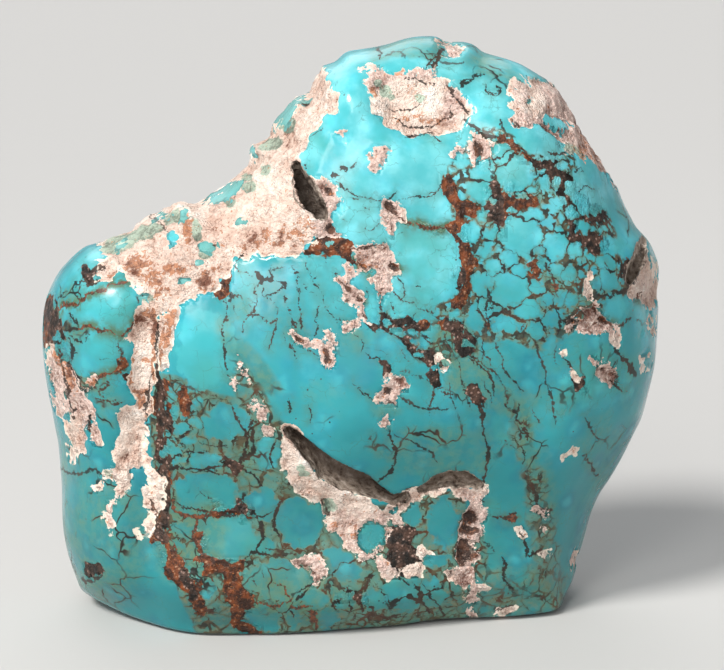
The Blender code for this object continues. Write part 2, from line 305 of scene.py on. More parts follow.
def stone(p, cubic=True):
    u, v = to_drawing(p)
    s = sample(u, v, cubic=cubic)
    inside, rf, rb, rim, front, back = s
    ahead = p[:, 1] < rim
    rounding = np.where(ahead, rf, rb)
    depth = np.where(ahead, rim - front, back - rim)
    a = np.maximum(0.0, 1.0 - inside / rounding)
    b = (p[:, 1] - rim) / depth
    q = np.maximum(np.sqrt(a * a + b * b), 1e-6)
    slope = np.sqrt((a / (rounding * UNIT)) ** 2 + (b / depth) ** 2) + 1e-9
    f = (1.0 - q) * q / slope + undulation(p)
    f = smooth_min(f, -crevice_depth(p, u, v, s), 0.8)
    k = 1.6 + 8.0 * smoothstep(-22.0, 10.0, p[:, 1])
    return smooth_min(f, p[:, 2], k)


# ========================================================== the fine mesh
def surface_nets(low, high, h):
    """Quads around the zero level of stone() on a grid of step h."""
    xs, ys, zs = [np.arange(a, b + h, h) for a, b in zip(low, high)]
    f = np.empty((len(xs), len(ys), len(zs)), np.float32)
    X, Z = np.meshgrid(xs, zs, indexing="ij")
    for j, y in enumerate(ys):
        p = np.stack([X.ravel(), np.full(X.size, y), Z.ravel()], axis=1)
        f[:, j, :] = stone(p, cubic=False).reshape(X.shape)
    sgn = f > 0
    nx, ny, nz = f.shape
    corner = [(a, b, c) for a in (0, 1) for b in (0, 1) for c in (0, 1)]

    def cut(arr, o):
        return arr[o[0]:nx - 1 + o[0], o[1]:ny - 1 + o[1], o[2]:nz - 1 + o[2]]
    count = sum(cut(sgn, o).astype(np.int8) for o in corner)
    cells = np.argwhere((count > 0) & (count < 8))
    index = np.full((nx - 1, ny - 1, nz - 1), -1, np.int64)
    index[tuple(cells.T)] = np.arange(len(cells))
    total = np.zeros((len(cells), 3))
    hits = np.zeros(len(cells))
    for o in corner:
        for axis in range(3):
            if o[axis]:
                continue
            o2 = list(o)
            o2[axis] = 1
            fa = f[tuple((cells + o).T)]
            fb = f[tuple((cells + o2).T)]
            cross = (fa > 0) != (fb > 0)
            t = np.where(cross, fa / np.where(cross, fa - fb, 1.0), 0.0)
            pos = np.repeat(np.array([o], float), len(cells), axis=0)
            pos[:, axis] += t
            total += pos * cross[:, None]
            hits += cross
    verts = (cells + total / hits[:, None]) * h + np.array([xs[0], ys[0], zs[0]])
    quads = []
    for axis in range(3):
        a, b = (axis + 1) % 3, (axis + 2) % 3
        sl0, sl1 = [slice(None)] * 3, [slice(None)] * 3
        sl0[axis], sl1[axis] = slice(0, -1), slice(1, None)
        s0, s1 = sgn[tuple(sl0)], sgn[tuple(sl1)]
        edge = np.argwhere(s0 != s1)
        ok = (edge[:, a] > 0) & (edge[:, b] > 0)
        ok &= (edge[:, a] < f.shape[a] - 1) & (edge[:, b] < f.shape[b] - 1)
        edge = edge[ok]
        ring = []
        for da, db in ((1, 1), (0, 1), (0, 0), (1, 0)):
            c = edge.copy()
            c[:, a] -= da
            c[:, b] -= db
            ring.append(index[tuple(c.T)])
        q = np.stack(ring, axis=1)
        flip = ~s0[tuple(edge.T)]
        q[flip] = q[flip][:, ::-1]
        quads.append(q)
    return verts, np.concatenate(quads)


def gradient(p, e=0.25):
    g = np.empty_like(p)
    for axis in range(3):
        d = np.zeros(3)
        d[axis] = e
        g[:, axis] = (stone(p + d) - stone(p - d)) / (2 * e)
    return g


def noise3(p, size, seed=0):
    """Smooth value noise from -1 to 1, the same each run."""
    q = p / size + np.array([17.3, 5.1, 29.7]) * (seed + 1)
    i = np.floor(q).astype(np.int64)
    f = q - i
    f = f * f * (3 - 2 * f)

    def value(a, b, c):
        n = ((i[:, 0] + a) * 73856093) ^ ((i[:, 1] + b) * 19349663) ^ ((i[:, 2] + c) * 83492791)
        n = (n ^ (n >> 13)) * 1274126177 & 0x7FFFFFFF
        n = (n ^ (n >> 16)) & 0xFFFF
        return n / 32767.5 - 1.0
    out = 0.0
    for a in (0, 1):
        for b in (0, 1):
            for c in (0, 1):
                w = ((f[:, 0] if a else 1 - f[:, 0]) * (f[:, 1] if b else 1 - f[:, 1])
                     * (f[:, 2] if c else 1 - f[:, 2]))
                out = out + w * value(a, b, c)
    return out


def cell_distance(p, size, seed=0):
    """Distance in mm to the nearest of jittered points, one per cell."""
    q = p / size + 11.7 * (seed + 1)
    base = np.floor(q).astype(np.int64)
    best = np.full(len(p), 9.0)
    for a in (-1, 0, 1):
        for b in (-1, 0, 1):
            for c in (-1, 0, 1):
                i = base + np.array([a, b, c])
                n = (i[:, 0] * 73856093) ^ (i[:, 1] * 19349663) ^ (i[:, 2] * 83492791)
                d = 0.0
                for axis in range(3):
                    n = (n ^ (n >> 13)) * 1274126177 & 0x7FFFFFFF
                    n = n ^ (n >> 15)
                    d = d + (i[:, axis] + (n & 0xFFFF) / 65535.0 - q[:, axis]) ** 2
                best = np.minimum(best, d)
    return np.sqrt(best) * size


def fractal(p, size, octaves=4, seed=0):
    total, amp, norm = 0.0, 1.0, 0.0
    for k in range(octaves):
        total = total + amp * noise3(p, size / 2 ** k, seed + k)
        norm += amp
        amp *= 0.55
    return total / norm


# ============================================ the pattern, drawn over the front
# Patches of rough pink and cream matrix: outline in drawing units.
PINK = [
    # the slanting face at the upper left
    [(96, 236), (120, 222), (150, 205), (176, 190), (206, 184), (236, 164),
     (244, 148), (262, 132), (276, 108), (292, 88), (306, 84), (318, 66),
     (330, 86), (338, 102), (338, 112), (323, 117), (311, 134), (307, 145),
     (298, 151), (296, 160), (300, 172), (312, 184), (322, 179), (331, 185),
     (336, 191), (341, 199), (340, 214), (338, 221), (345, 229), (350, 238),
     (336, 236), (322, 234), (311, 243), (302, 252), (290, 259),
     (270, 254), (247, 256), (233, 262), (226, 276), (214, 292), (189, 299),
     (172, 306), (160, 318), (148, 318), (139, 292), (126, 276), (114, 260),
     (106, 250)],
    # the column down the valley
    [(139, 306), (158, 316), (155, 340), (154, 380), (149, 394), (147, 412),
     (146, 428), (142, 446), (141, 460), (138, 469), (135, 462), (131, 477),
     (125, 488), (118, 498), (115, 488), (114, 478), (107, 482), (97, 491),
     (95, 487), (106, 475), (112, 466), (113, 453), (118, 440), (122, 429),
     (118, 423), (115, 411), (128, 408), (133, 402), (130, 390), (132, 363),
     (132, 344), (126, 340), (131, 333)],
    [(146, 428), (149, 433), (148, 447), (152, 466), (159, 479), (161, 488),
     (157, 491), (150, 480), (146, 467), (144, 447)],
    [(144, 489), (150, 493), (157, 489), (161, 495), (157, 512), (151, 531),
     (142, 537), (136, 533), (145, 526), (148, 512)],
    [(107, 504), (113, 500), (112, 519), (111, 532), (108, 528), (106, 514)],
    [(94, 270), (99, 265), (110, 262), (116, 270), (110, 280), (104, 279),
     (97, 279)],
    # the left edge
    [(66, 384), (74, 380), (80, 386), (86, 396), (88, 410), (86, 428),
     (82, 446), (77, 459), (71, 459), (69, 440), (67, 420), (63, 402)],
    [(48, 346), (55, 347), (62, 358), (70, 372), (72, 380), (66, 378),
     (62, 384), (64, 398), (66, 411), (60, 412), (55, 398), (50, 376)],
    [(84, 380), (90, 376), (95, 380), (93, 388), (88, 392), (84, 387)],
    [(84, 392), (89, 400), (93, 416), (98, 443), (93, 440), (88, 420),
     (84, 404)],
    # beside the column
    [(156, 318), (166, 312), (176, 304), (176, 322), (173, 338), (168, 354),
     (164, 369), (158, 372), (156, 345)],
    # the basin near the top
    [(363, 68), (377, 66), (387, 72), (403, 71), (425, 68), (436, 70),
     (445, 79), (453, 86), (459, 96), (472, 110), (465, 119), (455, 126),
     (438, 130), (425, 135), (406, 135), (394, 129), (380, 120), (371, 109),
     (370, 98), (366, 84)],
    # the top right
    [(512, 82), (520, 78), (530, 82), (542, 80), (556, 84), (566, 92),
     (580, 110), (596, 134), (612, 160), (620, 186), (612, 182), (603, 172),
     (590, 160), (575, 155), (564, 151), (561, 140), (550, 132), (540, 126),
     (530, 129), (519, 127), (513, 121), (517, 113), (509, 108), (512, 100),
     (510, 92)],
    # the right horn and the right edge
    [(583, 281), (586, 276), (590, 274), (589, 279), (588, 285), (589, 291),
     (592, 298), (592, 303), (589, 300), (586, 293), (585, 286)],
    [(592, 302), (595, 301), (598, 306), (601, 311), (606, 317), (612, 321),
     (616, 325), (615, 332), (617, 340), (616, 346), (613, 343), (610, 338),
     (607, 332), (602, 330), (596, 332), (588, 331), (580, 330), (576, 326),
     (570, 328), (569, 323), (571, 320), (577, 320), (581, 317), (583, 309),
     (587, 306)],
    [(588, 356), (594, 356), (600, 360), (606, 364), (611, 366), (615, 372),
     (616, 378), (613, 384), (607, 381), (600, 377), (595, 373), (596, 368),
     (593, 362)],
    [(562, 347), (566, 346), (567, 351), (565, 355)],
    [(573, 371), (576, 376), (582, 378), (577, 380), (574, 378)],
    [(639, 337), (640, 333), (643, 331), (643, 335)],
    [(641, 361), (643, 356), (648, 353), (648, 357)],
    [(642, 370), (644, 366), (649, 364), (648, 368)],
    [(646, 331), (650, 328), (655, 330), (654, 333)],
    [(641, 262), (642, 255), (645, 250), (649, 256), (653, 263), (656, 271),
     (658, 284), (658, 300), (654, 306), (650, 312), (653, 319), (649, 321),
     (648, 314), (645, 309), (642, 303), (637, 303), (632, 299), (628, 291),
     (634, 287), (640, 282), (642, 272)],
    # middle of the front
    [(287, 331), (291, 329), (297, 330), (301, 336), (305, 341), (311, 345),
     (304, 345), (300, 346), (296, 341), (291, 337)],
    [(313, 344), (319, 342), (325, 346), (329, 344), (333, 340), (338, 343),
     (335, 347), (331, 350), (331, 355), (329, 361), (326, 366), (323, 359),
     (319, 352)],
    [(344, 328), (349, 324), (354, 321), (361, 323), (359, 327), (353, 329),
     (347, 330)],
    [(325, 332), (330, 332), (331, 337), (327, 338)],
    [(381, 202), (387, 198), (394, 203), (400, 210), (404, 219), (397, 221),
     (394, 230), (393, 241), (392, 254), (391, 263), (396, 268), (397, 274),
     (393, 275), (392, 284), (391, 291), (386, 296), (381, 299), (378, 301),
     (375, 298), (377, 292), (375, 285), (374, 278), (371, 272), (362, 268),
     (356, 263), (353, 257), (352, 249), (362, 248), (372, 246), (382, 244),
     (387, 238), (387, 226), (383, 214)],
    [(343, 267), (348, 262), (356, 267), (364, 272), (358, 274), (353, 280),
     (352, 286), (358, 289), (362, 293), (366, 299), (368, 302), (364, 306),
     (365, 312), (368, 317), (370, 322), (366, 322), (362, 317), (357, 315),
     (358, 311), (357, 306), (352, 303), (346, 303), (344, 299), (345, 293),
     (341, 290), (338, 284), (335, 281), (337, 277), (342, 276)],
    [(478, 133), (489, 138), (492, 148), (488, 156), (493, 166), (485, 173),
     (476, 168), (471, 160), (467, 148), (472, 141)],
    [(374, 150), (380, 147), (386, 149), (388, 155), (392, 160), (386, 161),
     (382, 165), (376, 169), (369, 171), (372, 165), (376, 161), (377, 156)],
    [(336, 135), (342, 133), (346, 129), (351, 134), (346, 138), (344, 142),
     (339, 141)],
    [(366, 152), (371, 152), (370, 158), (366, 157)],
    [(390, 373), (401, 375), (406, 386), (400, 396), (393, 406), (377, 400),
     (384, 387)],
    [(384, 412), (390, 414), (387, 428), (383, 422)],
    [(234, 356), (243, 360), (253, 384), (247, 382), (239, 370)],
    [(228, 376), (238, 384), (233, 388)],
    [(247, 395), (257, 400), (270, 418), (266, 423), (254, 410)],
    [(263, 428), (271, 430), (268, 436)],
    # the ledge under the slit
    [(284, 429), (293, 430), (300, 441), (311, 463), (329, 484), (351, 494),
     (370, 499), (381, 512), (387, 520), (389, 532), (385, 545), (379, 553),
     (384, 562), (392, 568), (399, 578), (390, 577), (376, 566), (362, 556),
     (350, 548), (340, 538), (330, 527), (323, 512), (312, 499), (296, 487),
     (284, 471), (281, 452)],
    [(380, 516), (390, 506), (404, 497), (418, 489), (432, 484), (446, 482),
     (460, 485), (472, 490), (484, 486), (484, 497), (487, 508), (489, 517),
     (483, 524), (484, 534), (478, 540), (473, 544), (475, 550), (481, 556),
     (475, 562), (469, 568), (460, 566), (456, 556), (457, 544), (464, 536),
     (461, 526), (466, 516), (467, 505), (461, 497), (452, 492), (440, 491),
     (428, 495), (416, 500), (404, 507), (394, 514), (388, 519)],
    [(443, 572), (456, 567), (469, 568), (475, 580), (482, 586), (489, 589),
     (481, 592), (479, 600), (475, 606), (473, 615), (466, 614), (467, 600),
     (470, 591), (462, 587), (452, 581)],
    [(403, 570), (412, 562), (424, 565), (420, 574), (408, 577)],
    [(416, 546), (424, 550), (430, 556), (424, 560), (418, 554)],
    [(392, 522), (398, 519), (402, 524), (396, 529)],
    [(293, 562), (300, 558), (308, 559), (312, 555), (319, 557), (323, 566),
     (323, 576), (319, 583), (312, 585), (311, 576), (313, 570), (307, 566),
     (300, 562), (296, 568)],
    [(531, 504), (538, 503), (543, 508), (547, 516), (548, 528), (543, 530),
     (545, 520), (540, 514), (532, 513)],
    [(517, 531), (522, 529), (526, 537), (521, 540)],
    [(543, 549), (548, 551), (547, 557), (543, 556)],
    [(497, 611), (505, 607), (513, 608), (507, 616), (498, 617)],
    [(563, 458), (568, 450), (577, 449), (572, 456)],
    [(573, 556), (579, 553), (577, 568), (572, 565)],
    [(440, 40), (449, 40), (462, 50), (458, 57), (448, 53)],
    [(440, 356), (449, 362), (444, 372), (438, 366)],
    [(457, 146), (462, 149), (458, 156), (452, 152)],
]
# Patches of rust and of dark brown matrix, in the same units; the dark patch in the hollow beside the right-hand
# crack is painted shadow.
RUST = [
    [(160, 384), (166, 380), (168, 392), (163, 398)],
    [(166, 404), (172, 402), (172, 412), (167, 412)],
    [(160, 440), (168, 436), (170, 446), (163, 450)],
    [(158, 472), (164, 468), (171, 478), (164, 484)],
    [(152, 398), (158, 396), (159, 410), (154, 412)],
    [(302, 252), (306, 248), (312, 243), (322, 235), (335, 237), (350, 238),
     (352, 250), (352, 258), (356, 263), (362, 270), (357, 270), (350, 262),
     (344, 257), (335, 255), (326, 254), (322, 251), (314, 253), (306, 254)],
    [(212, 297), (219, 280), (229, 264), (228, 284), (221, 296)],
    [(445, 178), (452, 180), (459, 197), (467, 204), (480, 209), (474, 214),
     (464, 214), (463, 226), (468, 238), (468, 250), (476, 262), (474, 272),
     (468, 290), (459, 306), (453, 304), (462, 288), (465, 270), (459, 252),
     (455, 236), (436, 232), (418, 224), (436, 226), (452, 224), (459, 212),
     (452, 200), (446, 190)],
    [(500, 186), (509, 184), (518, 187), (528, 196), (536, 200), (533, 208),
     (522, 208), (514, 214), (505, 226), (498, 214), (500, 202)],
    [(500, 138), (512, 140), (522, 152), (532, 162), (524, 162), (510, 152)],
    [(530, 265), (537, 262), (540, 272), (534, 277)],
    [(129, 258), (140, 264), (150, 284), (144, 288), (134, 276)],
    [(182, 214), (190, 216), (191, 236), (185, 240)],
    [(150, 268), (164, 262), (180, 268), (196, 264), (214, 276), (204, 294),
     (186, 294), (168, 290), (154, 282)],
    [(44, 298), (56, 304), (60, 326), (52, 346), (42, 340)],
    [(180, 388), (188, 390), (191, 408), (186, 414), (181, 402)],
    [(163, 414), (173, 414), (174, 426), (166, 427)],
    [(213, 563), (225, 560), (238, 560), (244, 562), (243, 572), (242, 584),
     (246, 596), (252, 603), (246, 612), (240, 618), (250, 625), (258, 627),
     (257, 635), (248, 633), (240, 628), (231, 618), (229, 604), (224, 592),
     (222, 578)],
    [(210, 505), (222, 503), (232, 507), (246, 504), (250, 514), (240, 518),
     (228, 514), (214, 516)],
    [(150, 524), (160, 530), (168, 548), (184, 566), (196, 574), (203, 594),
     (206, 612), (196, 612), (190, 594), (176, 584), (164, 566), (154, 544)],
    [(200, 533), (206, 536), (206, 546), (201, 544)],
    [(196, 560), (210, 556), (216, 566), (206, 574), (198, 570)],
    [(417, 325), (424, 321.5), (430, 325), (422, 328.5)],
    [(438, 322), (446, 320.5), (453, 326), (444, 328.5), (438, 327)],
    [(485, 323), (489, 321), (489, 328), (485, 329)],
    [(122, 358), (128, 358), (128, 369), (122, 368), (120, 364)],
    [(124, 373), (128, 372), (129, 379), (124, 378)],
    [(75, 302), (78, 302), (78, 307), (75, 307)],
]
DARK = [
    [(457, 541), (470, 541), (474, 550), (480, 557), (474, 560), (469, 566),
     (459, 565), (457, 552)],
    [(466, 519), (473, 521), (471, 526), (465, 525)],
    [(463, 530), (478, 528), (480, 533), (470, 536), (464, 535)],
    [(484, 188), (500, 188), (503, 208), (506, 228), (500, 240), (494, 226),
     (486, 210)],
    [(532, 160), (546, 160), (556, 164), (561, 178), (566, 188), (572, 196),
     (568, 202), (558, 196), (550, 184), (542, 174), (534, 170)],
    [(568, 204), (580, 200), (592, 206), (606, 213), (602, 222), (596, 220),
     (584, 218), (576, 222), (574, 232), (570, 222)],
    [(572, 236), (588, 236), (604, 238), (607, 248), (598, 253), (586, 248),
     (578, 246)],
    [(562, 176), (574, 182), (582, 192), (588, 202), (578, 204), (570, 196)],
    [(380, 311), (386, 315), (394, 317), (404, 317), (412, 320), (417, 326),
     (410, 327), (402, 324), (396, 329), (389, 331), (384, 327), (381, 320)],
    [(399, 337), (408, 335), (414, 338), (420, 346), (430, 350), (433, 356),
     (439, 364), (434, 367), (426, 361), (416, 359), (408, 351), (401, 344)],
    [(365, 317), (370, 321), (374, 327), (369, 326)],
    [(382, 362), (387, 363), (391, 371), (388, 378), (385, 370)],
    [(450, 319), (458, 322), (463, 328), (470, 334), (476, 338), (473, 348),
     (466, 353), (459, 350), (455, 344), (452, 334), (447, 327)],
    [(432, 372), (437, 371), (439, 382), (434, 384), (431, 378)],
    [(468, 392), (476, 387), (481, 394), (482, 405), (478, 409), (472, 402)],
    [(573, 379), (583, 377), (586, 392), (580, 393), (575, 388)],
    [(50, 360), (56, 358), (64, 370), (72, 382), (78, 392), (70, 392),
     (62, 382), (54, 372)],
    [(44, 302), (54, 304), (56, 316), (56, 326), (62, 328), (66, 338),
     (65, 345), (58, 347), (52, 340), (46, 320)],
    [(58, 350), (64, 354), (72, 368), (80, 380), (76, 382), (66, 370)],
    [(78, 398), (84, 396), (88, 412), (92, 430), (88, 430), (82, 414)],
    [(338, 600), (346, 598), (352, 590), (358, 593), (366, 597), (365, 605),
     (358, 604), (350, 601), (342, 603)],
    [(224, 459), (232, 462), (238, 468), (236, 475), (229, 470), (224, 466)],
    [(208, 611), (214, 611), (214, 615), (208, 615)],
    [(155, 345), (158, 348), (160, 372), (162, 392), (164, 412), (163, 436),
     (161, 456), (165, 480), (169, 500), (168, 524), (162, 524), (160, 500),
     (157, 480), (155, 456), (158, 430), (158, 410), (156, 392), (155, 372)],
    [(168, 420), (174, 424), (172, 434), (166, 430)],
    [(166, 452), (172, 458), (170, 468), (164, 462)],
    [(150, 494), (156, 500), (158, 520), (166, 540), (160, 540), (152, 520)],
    [(182, 570), (192, 578), (198, 596), (192, 596), (184, 582)],
    # painted shadow: the dark patch in the hollow beside the right-hand crack
    [(620, 261), (625, 259), (632, 261), (639, 254), (642, 262), (641, 271),
     (637, 280), (632, 286), (628, 289), (625, 281), (624, 272)],
    [(86, 566), (100, 564), (101, 574), (86, 577)],
    [(86, 269), (96, 270), (94, 281), (87, 279)],
    [(387, 534), (394, 526), (402, 528), (409, 526), (414, 534), (411, 543),
     (419, 551), (428, 557), (420, 562), (416, 569), (406, 571), (400, 578),
     (391, 566), (386, 552)],
    [(394, 502), (400, 496), (404, 500), (398, 505)],
    [(408, 492), (414, 489), (416, 493), (410, 496)],
    [(455, 268), (464, 274), (460, 292), (454, 290)],
    [(238, 500), (246, 502), (246, 516), (240, 520)],
]
# Dark brown hollows in the rough matrix.
PITS = [
    [(463, 518), (474, 514), (480, 520), (476, 526), (466, 526)],
    [(462, 528), (480, 527), (479, 534), (466, 536)],
    [(456, 546), (462, 540), (470, 541), (474, 549), (480, 556), (472, 562),
     (462, 568), (456, 566), (458, 556)],
    [(384, 202), (390, 201), (398, 212), (400, 218), (394, 216), (386, 209)],
    [(322, 184), (330, 188), (334, 196), (326, 194)],
    [(330, 222), (336, 228), (330, 232), (324, 228)],
    [(450, 572), (456, 570), (454, 578)],
    [(377, 292), (381, 293), (380, 299), (376, 300)],
    [(336, 274), (339, 276), (339, 283), (336, 280)],
    [(343, 284), (350, 288), (349, 291), (343, 287)],
    [(359, 297), (365, 300), (362, 303), (358, 300)],
    [(345, 300), (349, 301), (348, 305), (344, 304)],
    [(361, 311), (366, 315), (367, 320), (362, 316)],
    [(390, 264), (397, 267), (396, 271), (390, 269)],
    [(357, 262), (364, 266), (370, 271), (363, 270)],
    [(295, 335), (301, 338), (303, 344), (297, 341)],
    [(319, 346), (326, 348), (328, 353), (321, 351)],
    [(324, 357), (328, 355), (329, 361), (325, 362)],
    [(583, 311), (590, 310), (591, 316), (584, 317)],
    [(592, 305), (597, 307), (598, 312), (593, 311)],
    [(574, 321), (579, 321), (578, 326), (574, 325)],
    [(603, 318), (609, 321), (613, 327), (606, 324)],
    [(597, 366), (603, 367), (608, 371), (601, 371)],
    [(388, 400), (396, 404), (394, 410), (388, 408)],
    [(398, 376), (405, 380), (402, 386), (397, 382)],
    [(386, 386), (394, 388), (391, 395), (384, 393)],
    [(392, 126), (404, 132), (420, 133), (404, 138), (390, 132)],
    [(512, 118), (522, 124), (516, 128)], [(540, 122), (552, 130), (546, 132)],
    [(474, 140), (482, 146), (480, 158), (474, 152)],
    [(300, 563), (312, 568), (316, 576), (306, 572)],
    [(320, 500), (332, 510), (330, 520), (320, 512)],
]
# Nodules of turquoise inside the matrix: centre, half sizes, turn, how
# strongly a seam rings them.
NODULES = [
    (172, 235, 7, 7, 0, .8), (184, 212, 6, 8, 20, .6), (205, 245, 8, 6, 0, .6),
    (226, 189, 20, 7, -32, .6), (211, 198, 7, 5, -30, .6), (250, 150, 6, 8, 10, .6),
    (284, 112, 22, 8, -48, .5), (300, 94, 8, 5, -30, .5), (145, 298, 6, 5, 0, .6),
    (183, 281, 5, 4, 0, .6), (197, 262, 5, 4, 0, .5), (220, 240, 4, 3, 0, .4),
    (120, 243, 8, 5, -25, .4), (160, 214, 8, 4, -30, .5), (240, 220, 4, 3, 0, .4),
    (370, 536, 14, 16, 10, 1), (413, 517, 11, 13, 0, 1), (444, 522, 18, 26, 0, 1),
    (395, 512, 5, 5, 0, 1), (436, 560, 13, 9, 0, 1), (340, 560, 18, 12, 30, 1),
    (402, 592, 24, 16, 0, 1), (430, 588, 12, 12, 0, 1),
    (556, 121, 18, 7, 22, .9), (540, 142, 28, 16, 22, 1), (531, 100, 4, 3, 0, .5),
    (505, 160, 12, 9, 0, 1), (515, 174, 20, 20, 0, 1), (498, 151, 10, 9, 0, 1),
    (484, 172, 12, 16, 0, .8), (480, 192, 14, 12, 0, .9), (460, 160, 8, 10, 0, 1),
    (545, 184, 8, 10, -20, 1), (541, 170, 6, 5, 0, .8), (558, 184, 5, 6, 0, .8),
    (560, 166, 7, 6, 0, .8), (532, 190, 7, 6, 0, .8), (527, 194, 6, 4, 0, .6),
    (512, 210, 5, 5, 0, .8), (483, 214, 6, 6, 0, .9), (493, 200, 5, 4, 0, .6),
    (470, 232, 10, 13, -10, 1), (492, 234, 10, 8, 0, 1), (486, 250, 9, 8, 0, 1),
    (522, 236, 23, 22, 0, 1), (530, 216, 12, 9, 0, 1), (508, 260, 11, 12, 0, 1),
    (496, 268, 10, 10, 0, 1), (558, 205, 10, 10, 0, 1), (572, 212, 9, 8, 0, .9),
    (590, 190, 24, 26, -25, 1), (587, 227, 11, 7, 15, 1), (602, 230, 6, 4, 0, .9),
    (561, 229, 7, 5, 0, .9), (556, 246, 14, 16, 0, 1), (574, 250, 9, 9, 0, 1),
    (542, 262, 9, 8, 0, .9), (556, 272, 12, 10, 0, 1), (570, 274, 9, 8, 0, 1),
    (606, 263, 13, 9, 0, 1), (609, 281, 15, 12, 0, 1), (597, 284, 7, 10, 0, 1),
    (615, 308, 15, 15, 0, 1), (636, 340, 18, 20, 0, 1), (590, 346, 21, 13, 0, 1),
    (583, 364, 9, 13, 0, 1), (600, 397, 26, 15, 0, 1), (625, 377, 9, 10, 0, 1),
    (640, 313, 10, 13, 0, 1), (552, 345, 10, 14, 0, 1), (612, 246, 10, 12, 0, .9), (590, 256, 9, 7, 0, .9),
    (536, 248, 9, 7, 0, .9), (548, 222, 8, 8, 0, .9), (520, 270, 12, 9, 0, 1),
    (510, 290, 22, 17, 0, 1), (482, 284, 12, 14, 0, 1), (488, 308, 14, 12, 0, 1),
    (532, 288, 11, 9, 0, 1), (545, 300, 11, 10, 0, 1),
    (526, 310, 16, 11, 0, 1), (506, 322, 16, 12, 0, 1), (560, 296, 10, 11, 0, 1),
    (572, 300, 9, 9, 0, .9), (554, 320, 14, 12, 0, 1), (534, 330, 12, 10, 0, 1),
    (422, 165, 28, 32, 0, 1), (428, 210, 26, 20, -8, 1), (430, 262, 31, 40, 0, 1),
    (355, 217, 25, 20, 0, 1), (362, 182, 20, 16, 0, 1), (328, 150, 28, 16, -25, 1),
    (368, 128, 20, 16, 0, 1),
    (372, 311, 8, 17, 0, 1), (386, 304, 6, 8, 0, 1), (400, 306, 13, 14, 30, 1),
    (397, 331, 11, 6, 8, 1), (404, 325, 5, 4, 0, 1), (387, 325, 5, 5, 0, 1),
    (432, 333, 11, 10, 0, 1), (421, 342, 8, 6, 10, 1), (411, 331, 5, 5, 0, 1),
    (422, 354, 5, 3, 20, 1), (475, 317, 10, 18, 0, 1), (454, 313, 8, 7, 0, 1),
    (438, 364, 4, 5, 0, 1), (444, 362, 5, 5, 0, .6), (466, 343, 5, 4, 0, .9),
    (487, 310, 4, 5, 0, 1), (96, 276, 3, 4, 0, 1), (58, 338, 5, 7, 0, 1),
    (101, 384, 6, 7, 0, 1), (228, 298, 3, 3, 0, 1), (328, 245, 3.5, 3.5, 0, .6), (362, 283, 9, 10, 0, 1),
    (95, 305, 42, 24, -10, .9), (88, 352, 34, 24, 10, .8), (207, 350, 33, 46, 0, 1),
    (207, 492, 34, 21, 0, 1), (230, 539, 32, 24, 0, 1), (170, 450, 10, 8, 0, 1),
    (206, 460, 19, 10, 0, 1), (268, 452, 14, 18, 0, 1), (226, 422, 25, 20, 0, 1), (262, 505, 19, 18, 0, 1),
    (266, 546, 14, 8, 0, 1), (298, 522, 25, 26, 0, 1), (277, 580, 34, 22, 0, .7),
    (315, 598, 15, 11, 0, 1), (262, 619, 21, 14, 0, 1), (293, 619, 9, 10, 0, 1), (326, 619, 12, 12, 0, 1),
    (155, 555, 12, 14, 0, 1), (182, 528, 11, 9, 0, 1), (176, 508, 8, 6, 0, 1),
    (176, 412, 7, 7, 0, 1), (180, 430, 8, 7, 0, 1), (195, 424, 8, 7, 0, 1),
    (188, 440, 8, 6, 0, 1), (126, 347, 8, 9, 0, 1), (132, 470, 4, 6, 0, 1), (172, 395, 6, 7, 0, 1), (196, 402, 7, 6, 0, .9),
    (182, 460, 7, 5, 0, 1), (180, 545, 8, 9, 20, .9), (196, 572, 8, 9, 0, .9),
    (208, 590, 9, 11, 0, .9), (342, 600, 12, 10, 0, 1), (376, 600, 16, 13, 0, .8),
    (406, 600, 16, 14, 0, .8), (434, 596, 14, 13, 0, .8), (350, 572, 14, 12, 0, .8),
]
